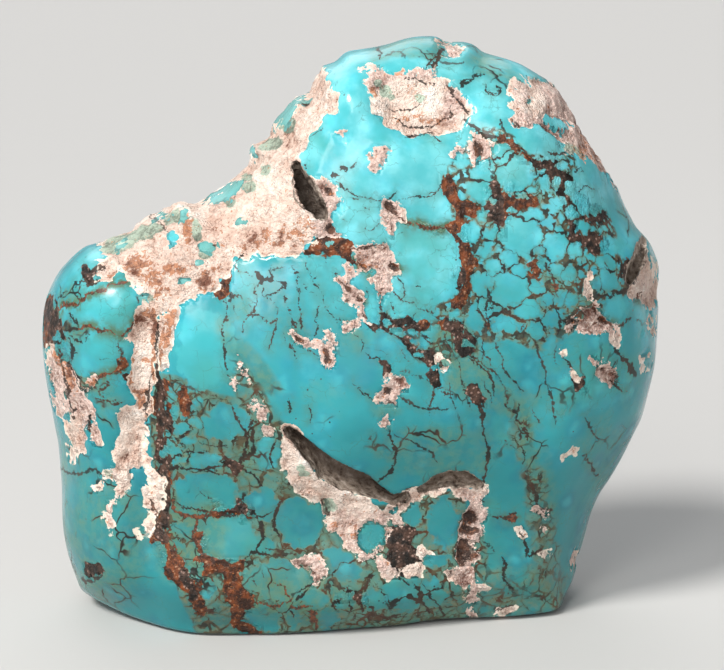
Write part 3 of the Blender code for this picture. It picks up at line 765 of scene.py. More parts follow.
# Dark veins and seams: half width, strength, points.
VEINS = [
    (1.6, 1.0, [(465, 119), (478, 130), (490, 137), (500, 139)]),
    (1.3, 1.0, [(500, 120), (504, 132), (502, 138)]),
    (1.2, .9, [(462, 86), (472, 80), (474, 76), (484, 74)]),
    (1.1, .9, [(486, 84), (489, 92), (496, 95), (500, 90), (496, 86)]),
    (1.4, .9, [(427, 68), (432, 60), (437, 54), (440, 50)]),
    (1.0, .7, [(428, 50), (434, 56)]),
    (1.0, .8, [(534, 340), (542, 360), (546, 380), (552, 400), (556, 424)]),
    (1.0, .8, [(400, 396), (412, 404), (430, 410), (448, 408)]),
    (0.8, .8, [(392, 432), (400, 438), (410, 440), (420, 446), (430, 452), (438, 462)]),
    (1.1, .8, [(60, 468), (76, 474), (92, 470), (104, 476)]),
    (1.4, 1.0, [(82, 578), (90, 582), (102, 576)]),
    (1.0, .7, [(166, 384), (176, 382), (188, 388), (200, 392), (214, 396),
               (230, 404)]),
    (1.2, .9, [(230, 404), (238, 420), (246, 436), (244, 452), (236, 466)]),
    (1.2, .9, [(164, 470), (180, 468), (198, 470), (216, 466), (236, 466),
               (252, 474), (262, 486)]),
    (1.3, .9, [(170, 500), (182, 506), (196, 510), (214, 512), (232, 514),
               (246, 512), (258, 516), (272, 512)]),
    (1.0, .8, [(266, 548), (280, 552), (296, 556)]),
    (1.1, .9, [(276, 440), (270, 452), (274, 468)]),
    (0.8, .7, [(488, 155), (492, 170), (494, 184)]),
    (1.0, .9, [(548, 152), (558, 154), (566, 152)]),
    (1.0, .8, [(575, 172), (580, 168), (582, 172)]),
    (0.9, .8, [(578, 190), (586, 186), (594, 190)]),
    (0.9, .7, [(440, 60), (452, 64), (464, 62)]),
    (0.9, .6, [(385, 56), (396, 52), (406, 56)]),
    (0.9, .7, [(150, 214), (160, 222), (166, 230)]),
    # the dark knots and ferns under the slanting face
    (0.6, .8, [(254, 277), (250, 276), (246, 272), (240, 272)]),
    (0.8, .9, [(269, 266), (270, 272)]),
    (0.9, 1, [(272, 271), (276, 270), (280, 269)]),
    (0.6, .8, [(280, 269), (284, 266), (288, 267), (292, 267)]),
    (1.0, 1, [(291, 263), (293, 267), (296, 271), (299, 275)]),
    (0.6, .8, [(299, 275), (302, 281), (306, 286), (310, 290), (316, 296)]),
    (0.9, 1, [(272, 278), (276, 280), (280, 282)]),
    (0.9, 1, [(262, 284), (263, 289), (262, 294), (264, 297), (269, 299)]),
    (0.7, .7, [(269, 299), (273, 303), (276, 310), (277, 318)]),
    (1.0, 1, [(256, 284), (254, 287), (253, 290), (255, 294), (257, 299),
              (256, 304), (254, 308), (251, 314), (248, 317), (246, 320)]),
    (0.8, .9, [(246, 320), (245, 325), (242, 332)]),
    (0.8, .9, [(248, 299), (251, 301), (256, 304)]),
    (0.8, .9, [(249, 305), (252, 308), (254, 309)]),
    (1.2, 1, [(225, 290), (229, 294), (233, 294), (236, 297), (241, 296),
              (243, 300)]),
    (1.0, .9, [(218, 298), (222, 300), (226, 303), (228, 306)]),
    (0.8, .9, [(231, 302), (234, 306), (235, 311), (238, 316)]),
    (0.8, .9, [(284, 302), (287, 305), (290, 309), (291, 314), (292, 319)]),
    (1.1, 1, [(301, 313), (300, 321), (300, 329)]),
    (0.9, 1, [(316, 277), (314, 280), (315, 283), (317, 285)]),
    (0.8, .8, [(315, 282), (320, 285)]),
    (0.9, 1, [(324, 296), (323, 302), (324, 305), (328, 310), (332, 315),
              (335, 319), (341, 319)]),
    (0.6, .7, [(333, 297), (335, 302), (338, 306), (344, 310)]),
    (1.0, 1, [(336, 273), (336, 278)]),
    (0.7, .8, [(333, 267), (338, 270)]),
    (0.7, .8, [(326, 256), (327, 262)]),
    (0.7, .8, [(318, 250), (320, 255)]),
    (0.7, .7, [(312, 253), (309, 257)]),
    (0.6, .6, [(230, 281), (234, 285)]),
    (0.6, .6, [(262, 256), (264, 260)]),
    (0.9, .9, [(282, 332), (284, 337), (286, 342)]),
    (1.8, 3, [(200, 516), (196, 528), (196, 542), (201, 554), (212, 561)]),
    (1.6, 3, [(172, 500), (178, 512), (190, 516), (204, 514), (214, 508)]),
    (1.5, 1, [(246, 508), (256, 516), (262, 528), (264, 540)]),
    (1.1, 1, [(283, 500), (276, 510), (274, 524), (280, 536)]),
    (1.2, 3, [(150, 500), (158, 516), (166, 532), (178, 552)]),
    (2.6, 1, [(256, 273), (258, 277), (262, 280)]),
    (2.3, 1, [(262, 280), (268, 280), (271, 276), (270, 271)]),
    (2.0, 1, [(262, 280), (258, 285)]),
    (2.8, 1, [(281.5, 284), (284, 287.5)]),
    (2.4, 1, [(292.5, 320), (295, 327)]),
    (2.0, 1, [(284, 297), (284, 301)]),
    (2.2, 1, [(231, 294), (233, 297), (230, 301)]),
    (1.6, 1, [(300.5, 318), (300, 328)]),
    (1.1, .9, [(225, 345), (226, 358), (228, 370)]),
    (1.0, 1, [(226, 374), (229, 378)]),
    # cracks and rust joints in the column
    (1.2, 1, [(156.5, 319), (156, 345), (155.5, 371)]),
    (1.1, 1, [(151, 372), (149, 385), (147, 393), (146, 412), (148, 430)]),
    (1.0, 1, [(76, 352), (66, 362), (72, 376), (86, 392)]),
    (1.0, 1, [(56, 350), (62, 372), (66, 396), (72, 420)]),
    # upper middle
    (1.8, 1, [(337, 182), (342, 188), (347, 190)]),
    (1.2, 1, [(347, 190), (352, 194), (356, 197), (362, 197)]),
    (0.7, .9, [(362, 197), (370, 200), (376, 201), (382, 200)]),
    (0.8, .9, [(386, 200), (392, 196), (396, 191)]),
    (0.7, .9, [(399, 200), (410, 198), (420, 196), (428, 196), (436, 193),
               (440, 190), (444, 183)]),
    (1.9, 3, [(416, 222), (424, 226), (432, 229), (440, 229), (447, 226)]),
    (1.5, 3, [(400, 217), (406, 221), (413, 224)]),
    (0.9, 1, [(352, 249), (365, 247), (375, 245), (384, 243)]),
    (1.7, 3, [(389, 262), (394, 266), (400, 268)]),
    (0.8, 1, [(398, 270), (402, 273)]), (1.0, 1, [(401, 232), (404, 233)]),
    (1.0, 1, [(365, 208), (369, 209)]), (1.0, 1, [(415, 285), (420, 285)]),
    (0.6, .9, [(362, 228), (370, 230), (376, 227), (380, 224)]),
    (1.0, 1, [(342, 221), (346, 222)]),
    (2.2, 1, [(342, 170), (346, 168)]), (2.0, 1, [(332, 176), (338, 176)]),
    (0.6, .8, [(351, 168), (357, 163)]), (1.0, 1, [(305, 165), (306, 168)]),
    (1.0, .9, [(405, 137), (414, 134), (424, 133)]),
    (1.4, 1, [(424, 134), (430, 132), (436, 138), (440, 142)]),
    (0.6, .7, [(310, 135), (318, 132), (322, 128)]),
    (1.1, 1, [(388, 430), (391, 440), (396, 450), (392, 458)]),
    (1.6, 1, [(392, 466), (390, 472), (384, 478), (379, 482)]),
    (0.8, .8, [(396, 450), (395, 458), (393, 466)]),
    (0.6, .7, [(370, 436), (374, 446), (378, 452)]),
    # right-hand side
    (1.2, 1, [(594, 288), (598, 294), (603, 296), (607, 295), (611, 297),
              (616, 292)]),
    (2.3, 1, [(615, 291), (620, 291), (626, 289)]),
    (1.1, 1, [(616, 325), (622, 325), (626, 321), (630, 317)]),
    (1.6, 1, [(616, 348), (619, 354), (623, 360), (628, 364)]),
    (1.0, 1, [(583, 311), (587, 309), (590, 312)]), (1.2, 3, [(592, 304), (596, 310), (599, 315)]),
    (1.2, 3, [(584, 314), (589, 315)]), (1.2, 3, [(594, 326), (599, 323)]),
    (1.2, 3, [(600, 316), (607, 322), (614, 326)]), (1.5, 1, [(599, 368), (597, 371)]),
    (1.0, 3, [(641, 299), (643, 292)]), (1.0, 3, [(645, 260), (649, 262)]),
    (0.8, 1, [(643, 246), (641, 254), (643, 262), (642, 270)]),
    (0.9, 1, [(303, 347), (310, 351), (317, 356)]), (2.4, 1, [(291, 345), (292, 347)]),
    (1.0, 1, [(346, 284), (350, 288)]), (1.4, 1, [(345, 303), (349, 302)]),
    (1.2, 3, [(357, 300), (362, 301)]), (1.2, 1, [(377, 246), (370, 247), (362, 249)]),
    (1.0, 3, [(352, 258), (358, 264), (364, 269), (372, 274)]),
    (2.3, 1, [(624, 360), (628, 364), (631, 370), (634, 376)]),
    (1.0, 1, [(617, 360), (614, 367), (611, 369)]),
    (1.2, 1, [(612, 383), (618, 387), (623, 390)]),
    (0.7, .8, [(616, 372), (618, 380), (618, 387)]),
    (1.1, 1, [(553, 307), (558, 314), (560, 320)]),
    (1.4, 1, [(560, 320), (560, 328), (557, 334)]),
    (2.2, 1, [(560, 321), (568, 321), (578, 323)]),
    (1.2, 1, [(545, 262), (549, 272), (553, 280), (556, 286), (557, 297)]),
    (2.4, 3, [(554, 281), (556, 290)]),
    (0.8, 1, [(575, 262), (576, 272), (576, 280), (576, 288), (578, 296),
              (579, 303)]),
    (0.7, .9, [(561, 263), (564, 267)]), (0.9, 1, [(568, 279), (569, 284)]),
    (1.0, 1, [(604, 263), (607, 267), (611, 271)]),
    (1.4, 1, [(563, 357), (568, 362), (573, 370)]),
    (1.0, .8, [(567, 292), (571, 292)]), (0.8, .9, [(542, 300), (546, 306), (544, 312)]),
    (0.6, .7, [(555, 345), (554, 356), (558, 366)]),
    # lower right
    (1.3, 1, [(493, 516), (500, 518), (506, 519), (511, 514), (516, 512)]),
    (2.6, 3, [(509, 518), (515, 517)]),
    (1.0, 1, [(482, 500), (487, 503)]),
    (1.8, 1, [(520, 532), (523, 541), (527, 548), (526, 556)]),
    (1.6, 1, [(526, 556), (532, 555), (538, 552), (543, 552)]),
    (1.3, 1, [(503, 556), (505, 564), (504, 574), (505, 581), (510, 586),
              (515, 592)]),
    (1.1, .9, [(529, 480), (534, 490), (537, 500), (541, 508), (552, 510)]),
    (1.3, 1, [(495, 612), (505, 608), (514, 607)]),
    (0.7, .6, [(522, 588), (532, 592), (545, 600)]),
    (1.2, 1, [(541, 509), (544, 513)]), (1.2, 1, [(541, 549), (542, 556)]),
    (0.7, .7, [(480, 540), (488, 546), (496, 552)]),
    # lower middle
    (1.2, 1, [(244, 560), (250, 555), (254, 552), (262, 554), (270, 555),
              (280, 556), (288, 555)]),
    (2.2, 1, [(252, 553), (256, 553)]), (1.0, 1, [(253, 578), (256, 586)]),
    (1.0, 1, [(263, 571), (264, 577)]),
    (1.1, 3, [(270, 582), (278, 584), (284, 590), (290, 600), (284, 604),
              (276, 606), (262, 603), (250, 602)]),
    (2.0, 3, [(275, 606), (279, 606)]), (1.3, 3, [(290, 606), (300, 607), (312, 606)]),
    (1.2, 1, [(291, 611), (293, 617)]),
    (1.0, 1, [(296, 593), (306, 588), (312, 584), (316, 583)]),
    (2.0, 3, [(311, 611), (314, 620), (317, 629)]),
    (0.9, 1, [(330, 585), (338, 588), (346, 588), (352, 591)]),
    (1.2, 1, [(331, 606), (336, 602), (342, 600)]),
    (1.1, 1, [(349, 603), (350, 611)]), (1.1, 1, [(361, 603), (363, 612)]),
    (1.1, 1, [(365, 604), (371, 607), (372, 612), (368, 618), (369, 623)]),
    (1.0, 1, [(370, 616), (380, 617), (386, 618), (396, 616), (406, 616)]),
    (2.0, 1, [(384, 618), (388, 619)]),
    (1.1, 1, [(358, 592), (366, 588), (368, 582), (369, 577)]),
    (2.0, 1, [(366, 578), (373, 575)]),
    (1.5, 1, [(412, 583), (418, 590), (420, 598), (424, 606), (429, 613)]),
    (2.3, 1, [(418, 593), (420, 602)]),
    (1.1, 1, [(423, 584), (427, 590), (432, 598), (438, 606), (445, 616)]),
    (1.1, 1, [(397, 577), (404, 582), (409, 585)]),
    (0.7, .7, [(385, 598), (388, 606), (386, 612)]),
    # the fern-like veins left of the middle, joined up
    (0.8, 1, [(240, 272), (236, 266), (238, 258), (246, 254)]),
    (0.7, .9, [(277, 318), (276, 328), (272, 338), (268, 350)]),
    (0.7, .9, [(292, 327), (296, 338), (294, 350), (298, 362)]),
    (0.7, .9, [(251, 314), (262, 318), (270, 324), (277, 318)]),
    (0.7, .9, [(299, 275), (296, 284), (300, 292), (298, 302), (301, 313)]),
    (0.7, .9, [(306, 260), (308, 270), (312, 278), (316, 285), (322, 292),
               (324, 296)]),
    (0.7, .9, [(264, 297), (272, 294), (280, 290), (284, 287)]),
    (0.6, .9, [(320, 306), (316, 316), (318, 326), (314, 336)]),
    (0.6, .9, [(341, 319), (350, 322), (356, 330)]),
    (0.7, .9, [(228, 306), (226, 318), (222, 330), (225, 345)]),
    (0.7, .9, [(366, 303), (368, 296), (366, 288)]),
    (0.8, 1, [(396, 276), (402, 282), (404, 292), (400, 300)]),
    (0.9, 1, [(414, 302), (420, 308), (428, 310), (436, 316), (444, 320)]),
    (0.8, .9, [(444, 334), (446, 344), (452, 352), (458, 362), (460, 374)]),
    (0.7, .9, [(460, 374), (464, 386), (466, 398), (472, 410)]),
    (0.7, .9, [(430, 350), (438, 346), (446, 344)]),
    (0.8, .9, [(476, 348), (486, 356), (490, 366)]),
    (0.6, .8, [(500, 377), (506, 390), (508, 404)]),
    # round the basin
    (1.4, 1, [(428, 67), (434, 64), (440, 52), (446, 47)]),
    (2.0, 1, [(428, 66), (436, 65)]),
    (0.9, 1, [(460, 87), (466, 80), (473, 78), (480, 74)]),
    (0.9, 1, [(488, 88), (494, 93), (499, 90)]),
    (1.2, 1, [(448, 84), (456, 96), (464, 108), (470, 116)]),
    (0.7, .9, [(396, 116), (410, 124), (430, 124), (448, 116), (452, 104)]),
    (0.6, .9, [(380, 100), (392, 108), (408, 108), (420, 104)]),
    (0.7, .9, [(404, 78), (420, 80), (434, 86)]),
    (1.0, .9, [(374, 44), (380, 52), (378, 58)]),
    # the middle
    (1.3, 1, [(392, 290), (396, 294), (400, 300), (407, 302), (414, 302)]),
    (1.0, 1, [(390, 303), (392, 309), (395, 313)]),
    (1.0, 1, [(382, 300), (381, 308), (386, 315)]),
    (0.9, 1, [(373, 327), (374, 333)]),
    (0.9, .9, [(366, 318), (370, 323), (373, 327), (380, 325), (384, 324)]),
    (1.1, 1, [(416, 314), (414, 320), (419, 328), (424, 334), (430, 340)]),
    (0.9, 1, [(429, 325), (434, 323), (438, 324)]),
    (1.1, 1, [(390, 334), (396, 336), (402, 338)]),
    (0.8, .9, [(400, 348), (404, 354), (409, 361)]),
    (0.5, .6, [(390, 358), (384, 352), (376, 348)]),
    (1.0, 1, [(352, 333), (356, 335), (360, 338), (363, 343), (362, 348),
              (361, 351)]),
    (1.3, 1, [(366, 353), (372, 358), (378, 358), (382, 362), (386, 366),
              (390, 371)]),
    (1.3, 1, [(354, 383), (358, 387), (362, 392), (368, 397), (374, 400)]),
    (1.1, 1, [(427, 380), (431, 382), (435, 380)]),
    (0.9, .9, [(435, 382), (433, 390), (431, 398), (430, 405), (428, 412)]),
    (0.8, 1, [(434, 389), (440, 388), (444, 391), (448, 394)]),
    (1.5, 1, [(442, 392), (448, 394), (452, 394)]),
    (1.1, 1, [(448, 382), (450, 388), (451, 396), (453, 402), (456, 409)]),
    (0.6, .6, [(456, 409), (458, 416), (460, 424)]),
    (0.7, .7, [(400, 372), (408, 371), (414, 376), (422, 378), (427, 380)]),
    (1.1, 1, [(460, 322), (464, 328), (468, 333), (476, 337)]),
    (1.0, .9, [(482, 336), (484, 345), (483, 355), (481, 361)]),
    (1.0, 1, [(466, 352), (474, 358), (482, 364), (488, 369), (494, 371),
              (500, 377)]),
    (1.2, 1, [(470, 358), (478, 364), (485, 370), (490, 378), (494, 386),
              (496, 396)]),
    (0.9, .9, [(482, 380), (486, 388), (490, 396), (492, 402)]),
    (2.0, 1, [(474, 384), (477, 394), (480, 404), (482, 412), (483, 420)]),
    (1.4, 1, [(483, 420), (484, 430), (485, 438), (487, 448), (486, 460),
              (486, 468), (485, 474), (483, 482), (483, 490)]),
    (1.2, 1, [(487, 300), (484, 308), (486, 315), (488, 322), (484, 332)]),
    (1.3, 1, [(488, 288), (489, 298), (486, 303)]),
    (0.9, .9, [(489, 310), (495, 308)]),
    (0.8, .8, [(494, 340), (500, 352), (504, 366), (510, 380)]),
    (1.2, 1, [(510, 380), (516, 383), (519, 387), (523, 391)]),
    (1.3, .9, [(505, 404), (511, 409), (516, 413), (518, 420), (521, 423),
               (526, 424), (531, 424)]),
    (0.9, .8, [(519, 402), (519, 408), (516, 413)]),
    (1.4, .9, [(524, 424), (526, 432), (527, 440)]),
    (1.3, 1, [(519, 444), (522, 449), (524, 454), (525, 459), (524, 464)]),
    (1.0, 1, [(524, 472), (526, 478), (528, 482), (530, 488), (534, 494),
              (536, 502)]),
    (0.8, .8, [(506, 440), (509, 445), (516, 447)]),
    (0.9, .9, [(531, 408), (533, 413), (536, 418), (539, 423)]),
    (1.0, .8, [(585, 418), (590, 424), (594, 433), (600, 438)]),
    (1.2, .9, [(586, 455), (588, 462), (592, 468), (596, 476)]),
    # the left shoulder
    (1.2, 1, [(56, 301), (62, 296), (65, 291)]),
    (0.9, 1, [(76, 281), (78, 284), (82, 281), (86, 281)]),
    (1.6, 3, [(50, 320), (58, 310), (66, 304), (77, 305)]),
    (1.4, 3, [(108, 287), (118, 284), (128, 280)]),
    (1.4, 1, [(66, 330), (70, 329), (79, 329)]),
    (1.1, 1, [(68, 338), (72, 350), (70, 362)]),
    (1.2, 1, [(96, 398), (104, 400), (112, 404), (122, 404)]),
    (2.0, 1, [(86, 267), (88, 274), (87, 281), (90, 284), (94, 282), (97, 279)]),
    (2.0, 1, [(88, 274), (93, 270), (98, 266), (103, 264)]),
    (1.2, 1, [(76, 284), (74, 290), (76, 296), (80, 298)]),
    (1.7, 3, [(77, 305), (80, 300), (85, 298), (88, 295), (94, 294), (98, 292),
              (104, 291), (108, 287), (112, 282)]),
    (1.0, 1, [(70, 313), (74, 320), (79, 327)]),
    (1.5, 3, [(79, 329), (84, 327), (90, 326), (95, 328), (101, 331), (106, 330),
              (111, 331), (115, 334), (120, 335)]),
    (1.8, 3, [(121, 335), (127, 332), (131, 328), (134, 322)]),
    (1.1, 1, [(70, 336), (76, 339), (83, 341)]),
    (0.8, .8, [(84, 342), (86, 338), (89, 334)]),
    (0.9, .9, [(118, 344), (120, 350), (123, 356)]),
    (1.6, 3, [(96, 378), (101, 377), (106, 374), (112, 373), (119, 370),
              (123, 369)]),
    (1.3, 1, [(94, 380), (95, 386), (99, 390), (103, 389), (107, 386), (107, 381)]),
    (1.5, 1, [(98, 390), (101, 395), (104, 397)]),
    (0.9, .8, [(62, 303), (66, 303), (68, 300)]),
    (0.7, .6, [(100, 360), (106, 359), (112, 358)]),
    # marks over the big fields
    (1.1, 1, [(290, 399), (290, 406), (291, 413)]),
    (0.9, 1, [(308, 406), (310, 414), (309, 422)]),
    (0.8, .9, [(199, 440), (208, 446), (218, 447), (226, 443)]),
    (0.9, .9, [(168, 436), (176, 440), (184, 445), (191, 450), (200, 452),
               (210, 450)]),
    (1.0, 1, [(180, 465.5), (188, 470), (198, 469), (208, 470), (220, 475)]),
    (1.1, 1, [(248, 430), (249, 424), (253, 421), (259, 424)]),
    (1.8, 1, [(253, 429), (252, 438), (254, 446), (250, 454), (243, 459)]),
    (0.9, .9, [(199, 488), (204, 494), (209, 498), (214, 504)]),
]

# Greener ground with a fine brown network, on which the bluer nodules lie:
# how strong, and the outline.
GROUND = [
    (0.85, [(250, 428), (280, 434), (288, 478), (312, 502), (330, 532),
            (352, 552), (390, 580), (430, 576), (462, 590), (465, 612),
            (440, 624), (330, 631), (262, 634), (240, 600), (236, 470)]),
    (0.8, [(386, 520), (404, 505), (430, 494), (462, 497), (462, 530),
           (458, 560), (440, 572), (404, 580), (388, 560)]),
    (1.0, [(156, 380), (180, 380), (196, 392), (200, 410), (192, 436),
           (186, 456), (178, 472), (172, 500), (160, 500), (152, 470),
           (152, 430)]),
    (0.88, [(160, 385), (185, 380), (205, 395), (232, 400), (240, 425),
           (240, 455), (262, 470), (262, 490), (240, 482), (225, 470),
           (190, 478), (172, 492), (172, 510), (195, 520), (212, 515),
           (230, 516), (248, 518), (262, 525), (268, 548), (262, 560),
           (240, 565), (225, 580), (250, 590), (250, 625), (205, 634),
           (186, 600), (172, 570), (158, 545), (150, 520), (158, 480),
           (150, 440), (150, 400)]),
    (0.7, [(240, 556), (300, 550), (318, 575), (330, 590), (400, 590),
           (440, 590), (455, 615), (440, 622), (330, 630), (262, 634),
           (245, 610)]),
    (0.95, [(446, 178), (470, 150), (482, 132), (510, 136), (530, 160),
            (565, 150), (577, 172), (600, 206), (614, 235), (614, 255),
            (640, 280), (600, 310), (570, 330), (540, 345), (510, 335),
            (480, 340), (450, 330), (440, 310), (455, 300), (470, 270),
            (462, 230)]),
    (0.55, [(376, 306), (400, 314), (430, 322), (450, 320), (478, 336),
            (480, 356), (462, 358), (440, 372), (420, 362), (398, 342),
            (380, 328)]),
    (0.55, [(205, 318), (228, 335), (262, 392), (282, 432), (262, 440),
            (240, 404), (216, 365)]),
    (0.8, [(340, 515), (400, 505), (475, 512), (480, 575), (430, 582),
           (370, 566), (345, 545)]),
    (0.5, [(505, 390), (535, 436), (552, 505), (560, 560), (530, 560),
           (524, 500), (512, 450)]),
    (0.6, [(48, 300), (66, 318), (88, 350), (96, 380), (75, 404), (52, 380)]),
    (0.6, [(560, 268), (600, 262), (612, 290), (588, 316), (566, 316)]),
    (0.25, [(588, 316), (612, 290), (628, 370), (600, 392), (566, 392),
            (560, 330)]),
    (0.5, [(400, 590), (468, 575), (560, 560), (560, 612), (470, 618),
           (400, 624)]),
]


# Soft tints: centre, half sizes, turn, strength. Most are olive in the turquoise; the dark ones at the lower left
# and at the right edge are painted shade.
CLOUDS = [        # olive, in the turquoise
    (420, 48, 60, 12, 0, .7), (492, 68, 34, 14, 28, .75), (560, 92, 18, 34, -42, .7),
    (375, 58, 26, 8, -15, .5), (330, 145, 12, 8, 0, .4), (626, 210, 12, 40, -15, .5),
    (300, 335, 22, 12, 30, .6), (345, 340, 25, 20, 0, .6), (455, 345, 26, 24, 0, 1),
    (470, 378, 25, 24, 0, .8), (500, 400, 32, 16, 30, .7), (528, 440, 8, 48, -8, .9),
    (535, 395, 20, 12, 0, .6), (385, 410, 22, 10, 0, .6), (250, 362, 14, 48, -42, .8),
    (240, 308, 14, 14, 0, .5), (70, 295, 14, 12, 0, .8), (75, 335, 14, 12, 0, .7),
    (95, 388, 14, 12, 0, .6), (560, 400, 22, 20, 0, .4), (190, 545, 42, 48, 0, .8),
    # painted shade: the dark tint at the lower left (100, 540), and on the next line the one at the right edge
    # (604, 450)
    (300, 595, 62, 32, 0, .7), (540, 590, 30, 22, 0, .5), (100, 540, 60, 80, 0, .62), (75, 470, 20, 50, 0, .5), (110, 410, 16, 26, 0, .5),
    (436, 452, 70, 30, 0, .6), (330, 400, 40, 26, 20, .4), (604, 450, 30, 60, -20, .45), (228, 330, 12, 24, -30, .5), (270, 420, 16, 22, -20, .6),
    (545, 480, 14, 60, -8, .6), (590, 340, 30, 40, 0, .4), (330, 250, 20, 10, 0, .2),
    (250, 460, 20, 20, 0, .5), (480, 560, 20, 40, 0, .4), (600, 440, 16, 30, -30, .4),
    (180, 430, 30, 50, 0, .5), (390, 455, 14, 26, 0, .4),
]
STAINS = [        # rust, on the rough matrix
    (145, 318, 13, 3.5, -28, 1), (154, 322, 3, 9, 0, 1), (168, 330, 3, 24, 12, 1),
    (160, 345, 2.5, 24, 4, 1), (164, 318, 4, 9, 20, .9), (174, 315, 2.5, 9, 0, .8),
    (130, 365, 6, 3, -20, 1), (148, 362, 7, 3, 15, 1), (153, 372, 2.5, 10, 0, 1),
    (131, 378, 2, 10, 0, .9), (140, 403, 5, 8, 0, 1), (135, 391, 6, 2.5, 20, .9),
    (57, 356, 5, 9, -30, 1), (63, 372, 5, 8, -30, .9), (92, 383, 4, 5, 0, .9),
    (138, 262, 15, 11, 0, .9), (150, 275, 11, 11, 0, .9), (187, 228, 5, 15, 0, 1),
    (172, 268, 13, 8, 0, .8), (205, 285, 11, 10, 0, .8), (160, 292, 8, 12, 0, .7),
    (270, 238, 42, 10, -6, .6), (213, 270, 14, 7, -20, .7), (152.5, 345, 2.5, 28, 0, 1),
    (130, 362, 6, 4, 0, 1), (141, 394, 7, 4, 0, 1), (150, 363, 3, 4, 0, 1),
    (126, 332, 5, 9, 30, 1), (144, 316, 12, 4, -25, 1), (303, 228, 10, 12, 0, .7),
    (60, 362, 8, 7, 0, .9), (68, 382, 5, 12, -30, .7), (86, 385, 8, 5, 0, .7),
    (154, 410, 4, 20, 0, .9), (157, 450, 4, 30, 0, .7), (440, 532, 12, 8, 0, .5),
    (470, 528, 10, 3, 0, .6), (588, 314, 6, 6, 0, .5),
    (374, 92, 4, 8, 0, .9), (396, 72, 10, 3, 0, .6), (420, 118, 26, 5, 0, .5), (590, 150, 14, 20, -40, .4), (350, 532, 20, 10, 20, .4),
    (225, 225, 14, 8, 0, .35), (112, 272, 6, 6, 0, .6), (365, 262, 12, 8, 0, .4),
]
GREYS = [         # grey-green crust, on the rough matrix
    (386, 90, 6, 7, 0, 1), (393, 97, 4, 4, 0, 1), (420, 98, 4, 5, 0, 1),
    (378, 80, 5, 4, 0, .8), (284, 122, 9, 9, 0, 1), (268, 142, 11, 6, -20, 1), (263, 169, 6, 6, 0, 1),
    (248, 185, 8, 6, 0, 1), (245, 174, 6, 5, 0, 1), (228, 200, 6, 5, 0, 1),
    (205, 251, 7, 6, 0, 1), (120, 240, 24, 8, -25, 1), (146, 228, 15, 7, -20, .9),
    (146, 298, 6, 6, 0, 1), (300, 469, 5, 4, 0, 1), (304, 476, 5, 4, 0, 1),
    (196, 228, 5, 10, 0, 1), (172, 214, 12, 6, -20, .8), (330, 508, 8, 8, 0, .7),
    (108, 470, 6, 10, 0, .5), (575, 150, 14, 8, 40, .6), (150, 430, 5, 10, 0, .5),
]
MAUVES = [        # darker mauve-brown crust in the small patches
    (380, 158, 13, 12, 0, 1), (344, 136, 9, 7, 0, 1), (484, 152, 12, 20, 0, .9),
    (390, 208, 9, 10, 0, 1), (388, 234, 7, 16, 0, .7), (366, 260, 24, 12, 0, .7),
    (384, 290, 9, 12, 0, .9), (394, 388, 13, 13, 0, .8), (594, 318, 30, 14, 0, .9),
    (603, 370, 15, 16, 0, .9), (309, 346, 30, 18, 0, 1), (352, 292, 18, 30, 0, 1), (352, 326, 12, 6, 0, 1),
    (240, 372, 10, 16, 0, .8), (262, 410, 12, 16, 0, .8), (313, 570, 16, 14, 0, .8),
    (538, 515, 10, 16, 0, .7), (387, 420, 6, 9, 0, .7), (456, 152, 6, 6, 0, 1),
    (572, 330, 8, 8, 0, .8), (640, 290, 14, 18, 0, .4), (470, 540, 16, 34, 0, .9),
    (330, 200, 14, 16, 0, .9), (330, 230, 14, 10, 0, .8), (468, 590, 8, 26, 0, .8),
    (72, 395, 10, 16, 0, .7), (88, 410, 8, 30, 0, .8), (60, 378, 10, 26, 0, .8),
    (565, 150, 26, 20, 30, .7), (582, 122, 14, 44, -38, .8), (612, 172, 8, 20, -20, .8),
    (528, 122, 16, 8, 10, .8), (522, 92, 8, 12, 0, .5), (385, 545, 20, 24, 0, .7), (345, 535, 16, 20, 30, .5),
    (446, 50, 10, 8, 0, .6), (570, 560, 6, 10, 0, .6), (110, 500, 8, 26, 0, .4),
    (420, 72, 40, 5, 0, .6), (376, 78, 12, 10, 0, .7), (455, 100, 8, 18, 20, .7),
]
PLATES = [        # pale and smoother parts of the rough matrix
    (330, 492, 26, 9, 38, .8), (298, 462, 9, 20, -28, .8), (436, 488, 30, 5, -6, .8),
    (360, 508, 14, 8, 20, .7), (476, 505, 8, 12, 0, .5),
    (145, 349, 9, 14, 0, 1), (142, 379, 10, 10, 0, 1), (412, 96, 30, 20, 0, .8),
    (240, 215, 30, 16, -20, .6), (275, 190, 18, 26, 20, .6), (135, 250, 18, 10, 20, .5),
    (60, 400, 8, 12, 0, .5), (120, 445, 8, 20, 20, .7), (300, 470, 10, 16, -30, .7),
    (545, 95, 16, 8, 20, .6), (350, 275, 8, 8, 0, .7), (392, 392, 9, 10, 0, .8),
    (650, 275, 6, 20, 0, .5), (465, 500, 14, 8, 0, .5), (190, 205, 24, 5, -10, .6),
]


def soft_sum(spots, u, v):
    total = np.zeros(len(u))
    for cu, cv, ru, rv, turn, amount in spots:
        c, s = math.cos(math.radians(turn)), math.sin(math.radians(turn))
        q = np.hypot(((u - cu) * c + (v - cv) * s) / ru, (-(u - cu) * s + (v - cv) * c) / rv)
        total = np.maximum(total, amount * (1.0 - smoothstep(0.55, 1.45, q)))
    return total


def inside_polygon(line, u, v):
    odd = np.zeros(np.shape(u), bool)
    nxt = np.roll(line, -1, axis=0)
    for (ax, ay), (bx, by) in zip(line, nxt):
        if ay == by:
            continue
        odd ^= ((ay > v) != (by > v)) & (u < (bx - ax) * (v - ay) / (by - ay) + ax)
    return odd


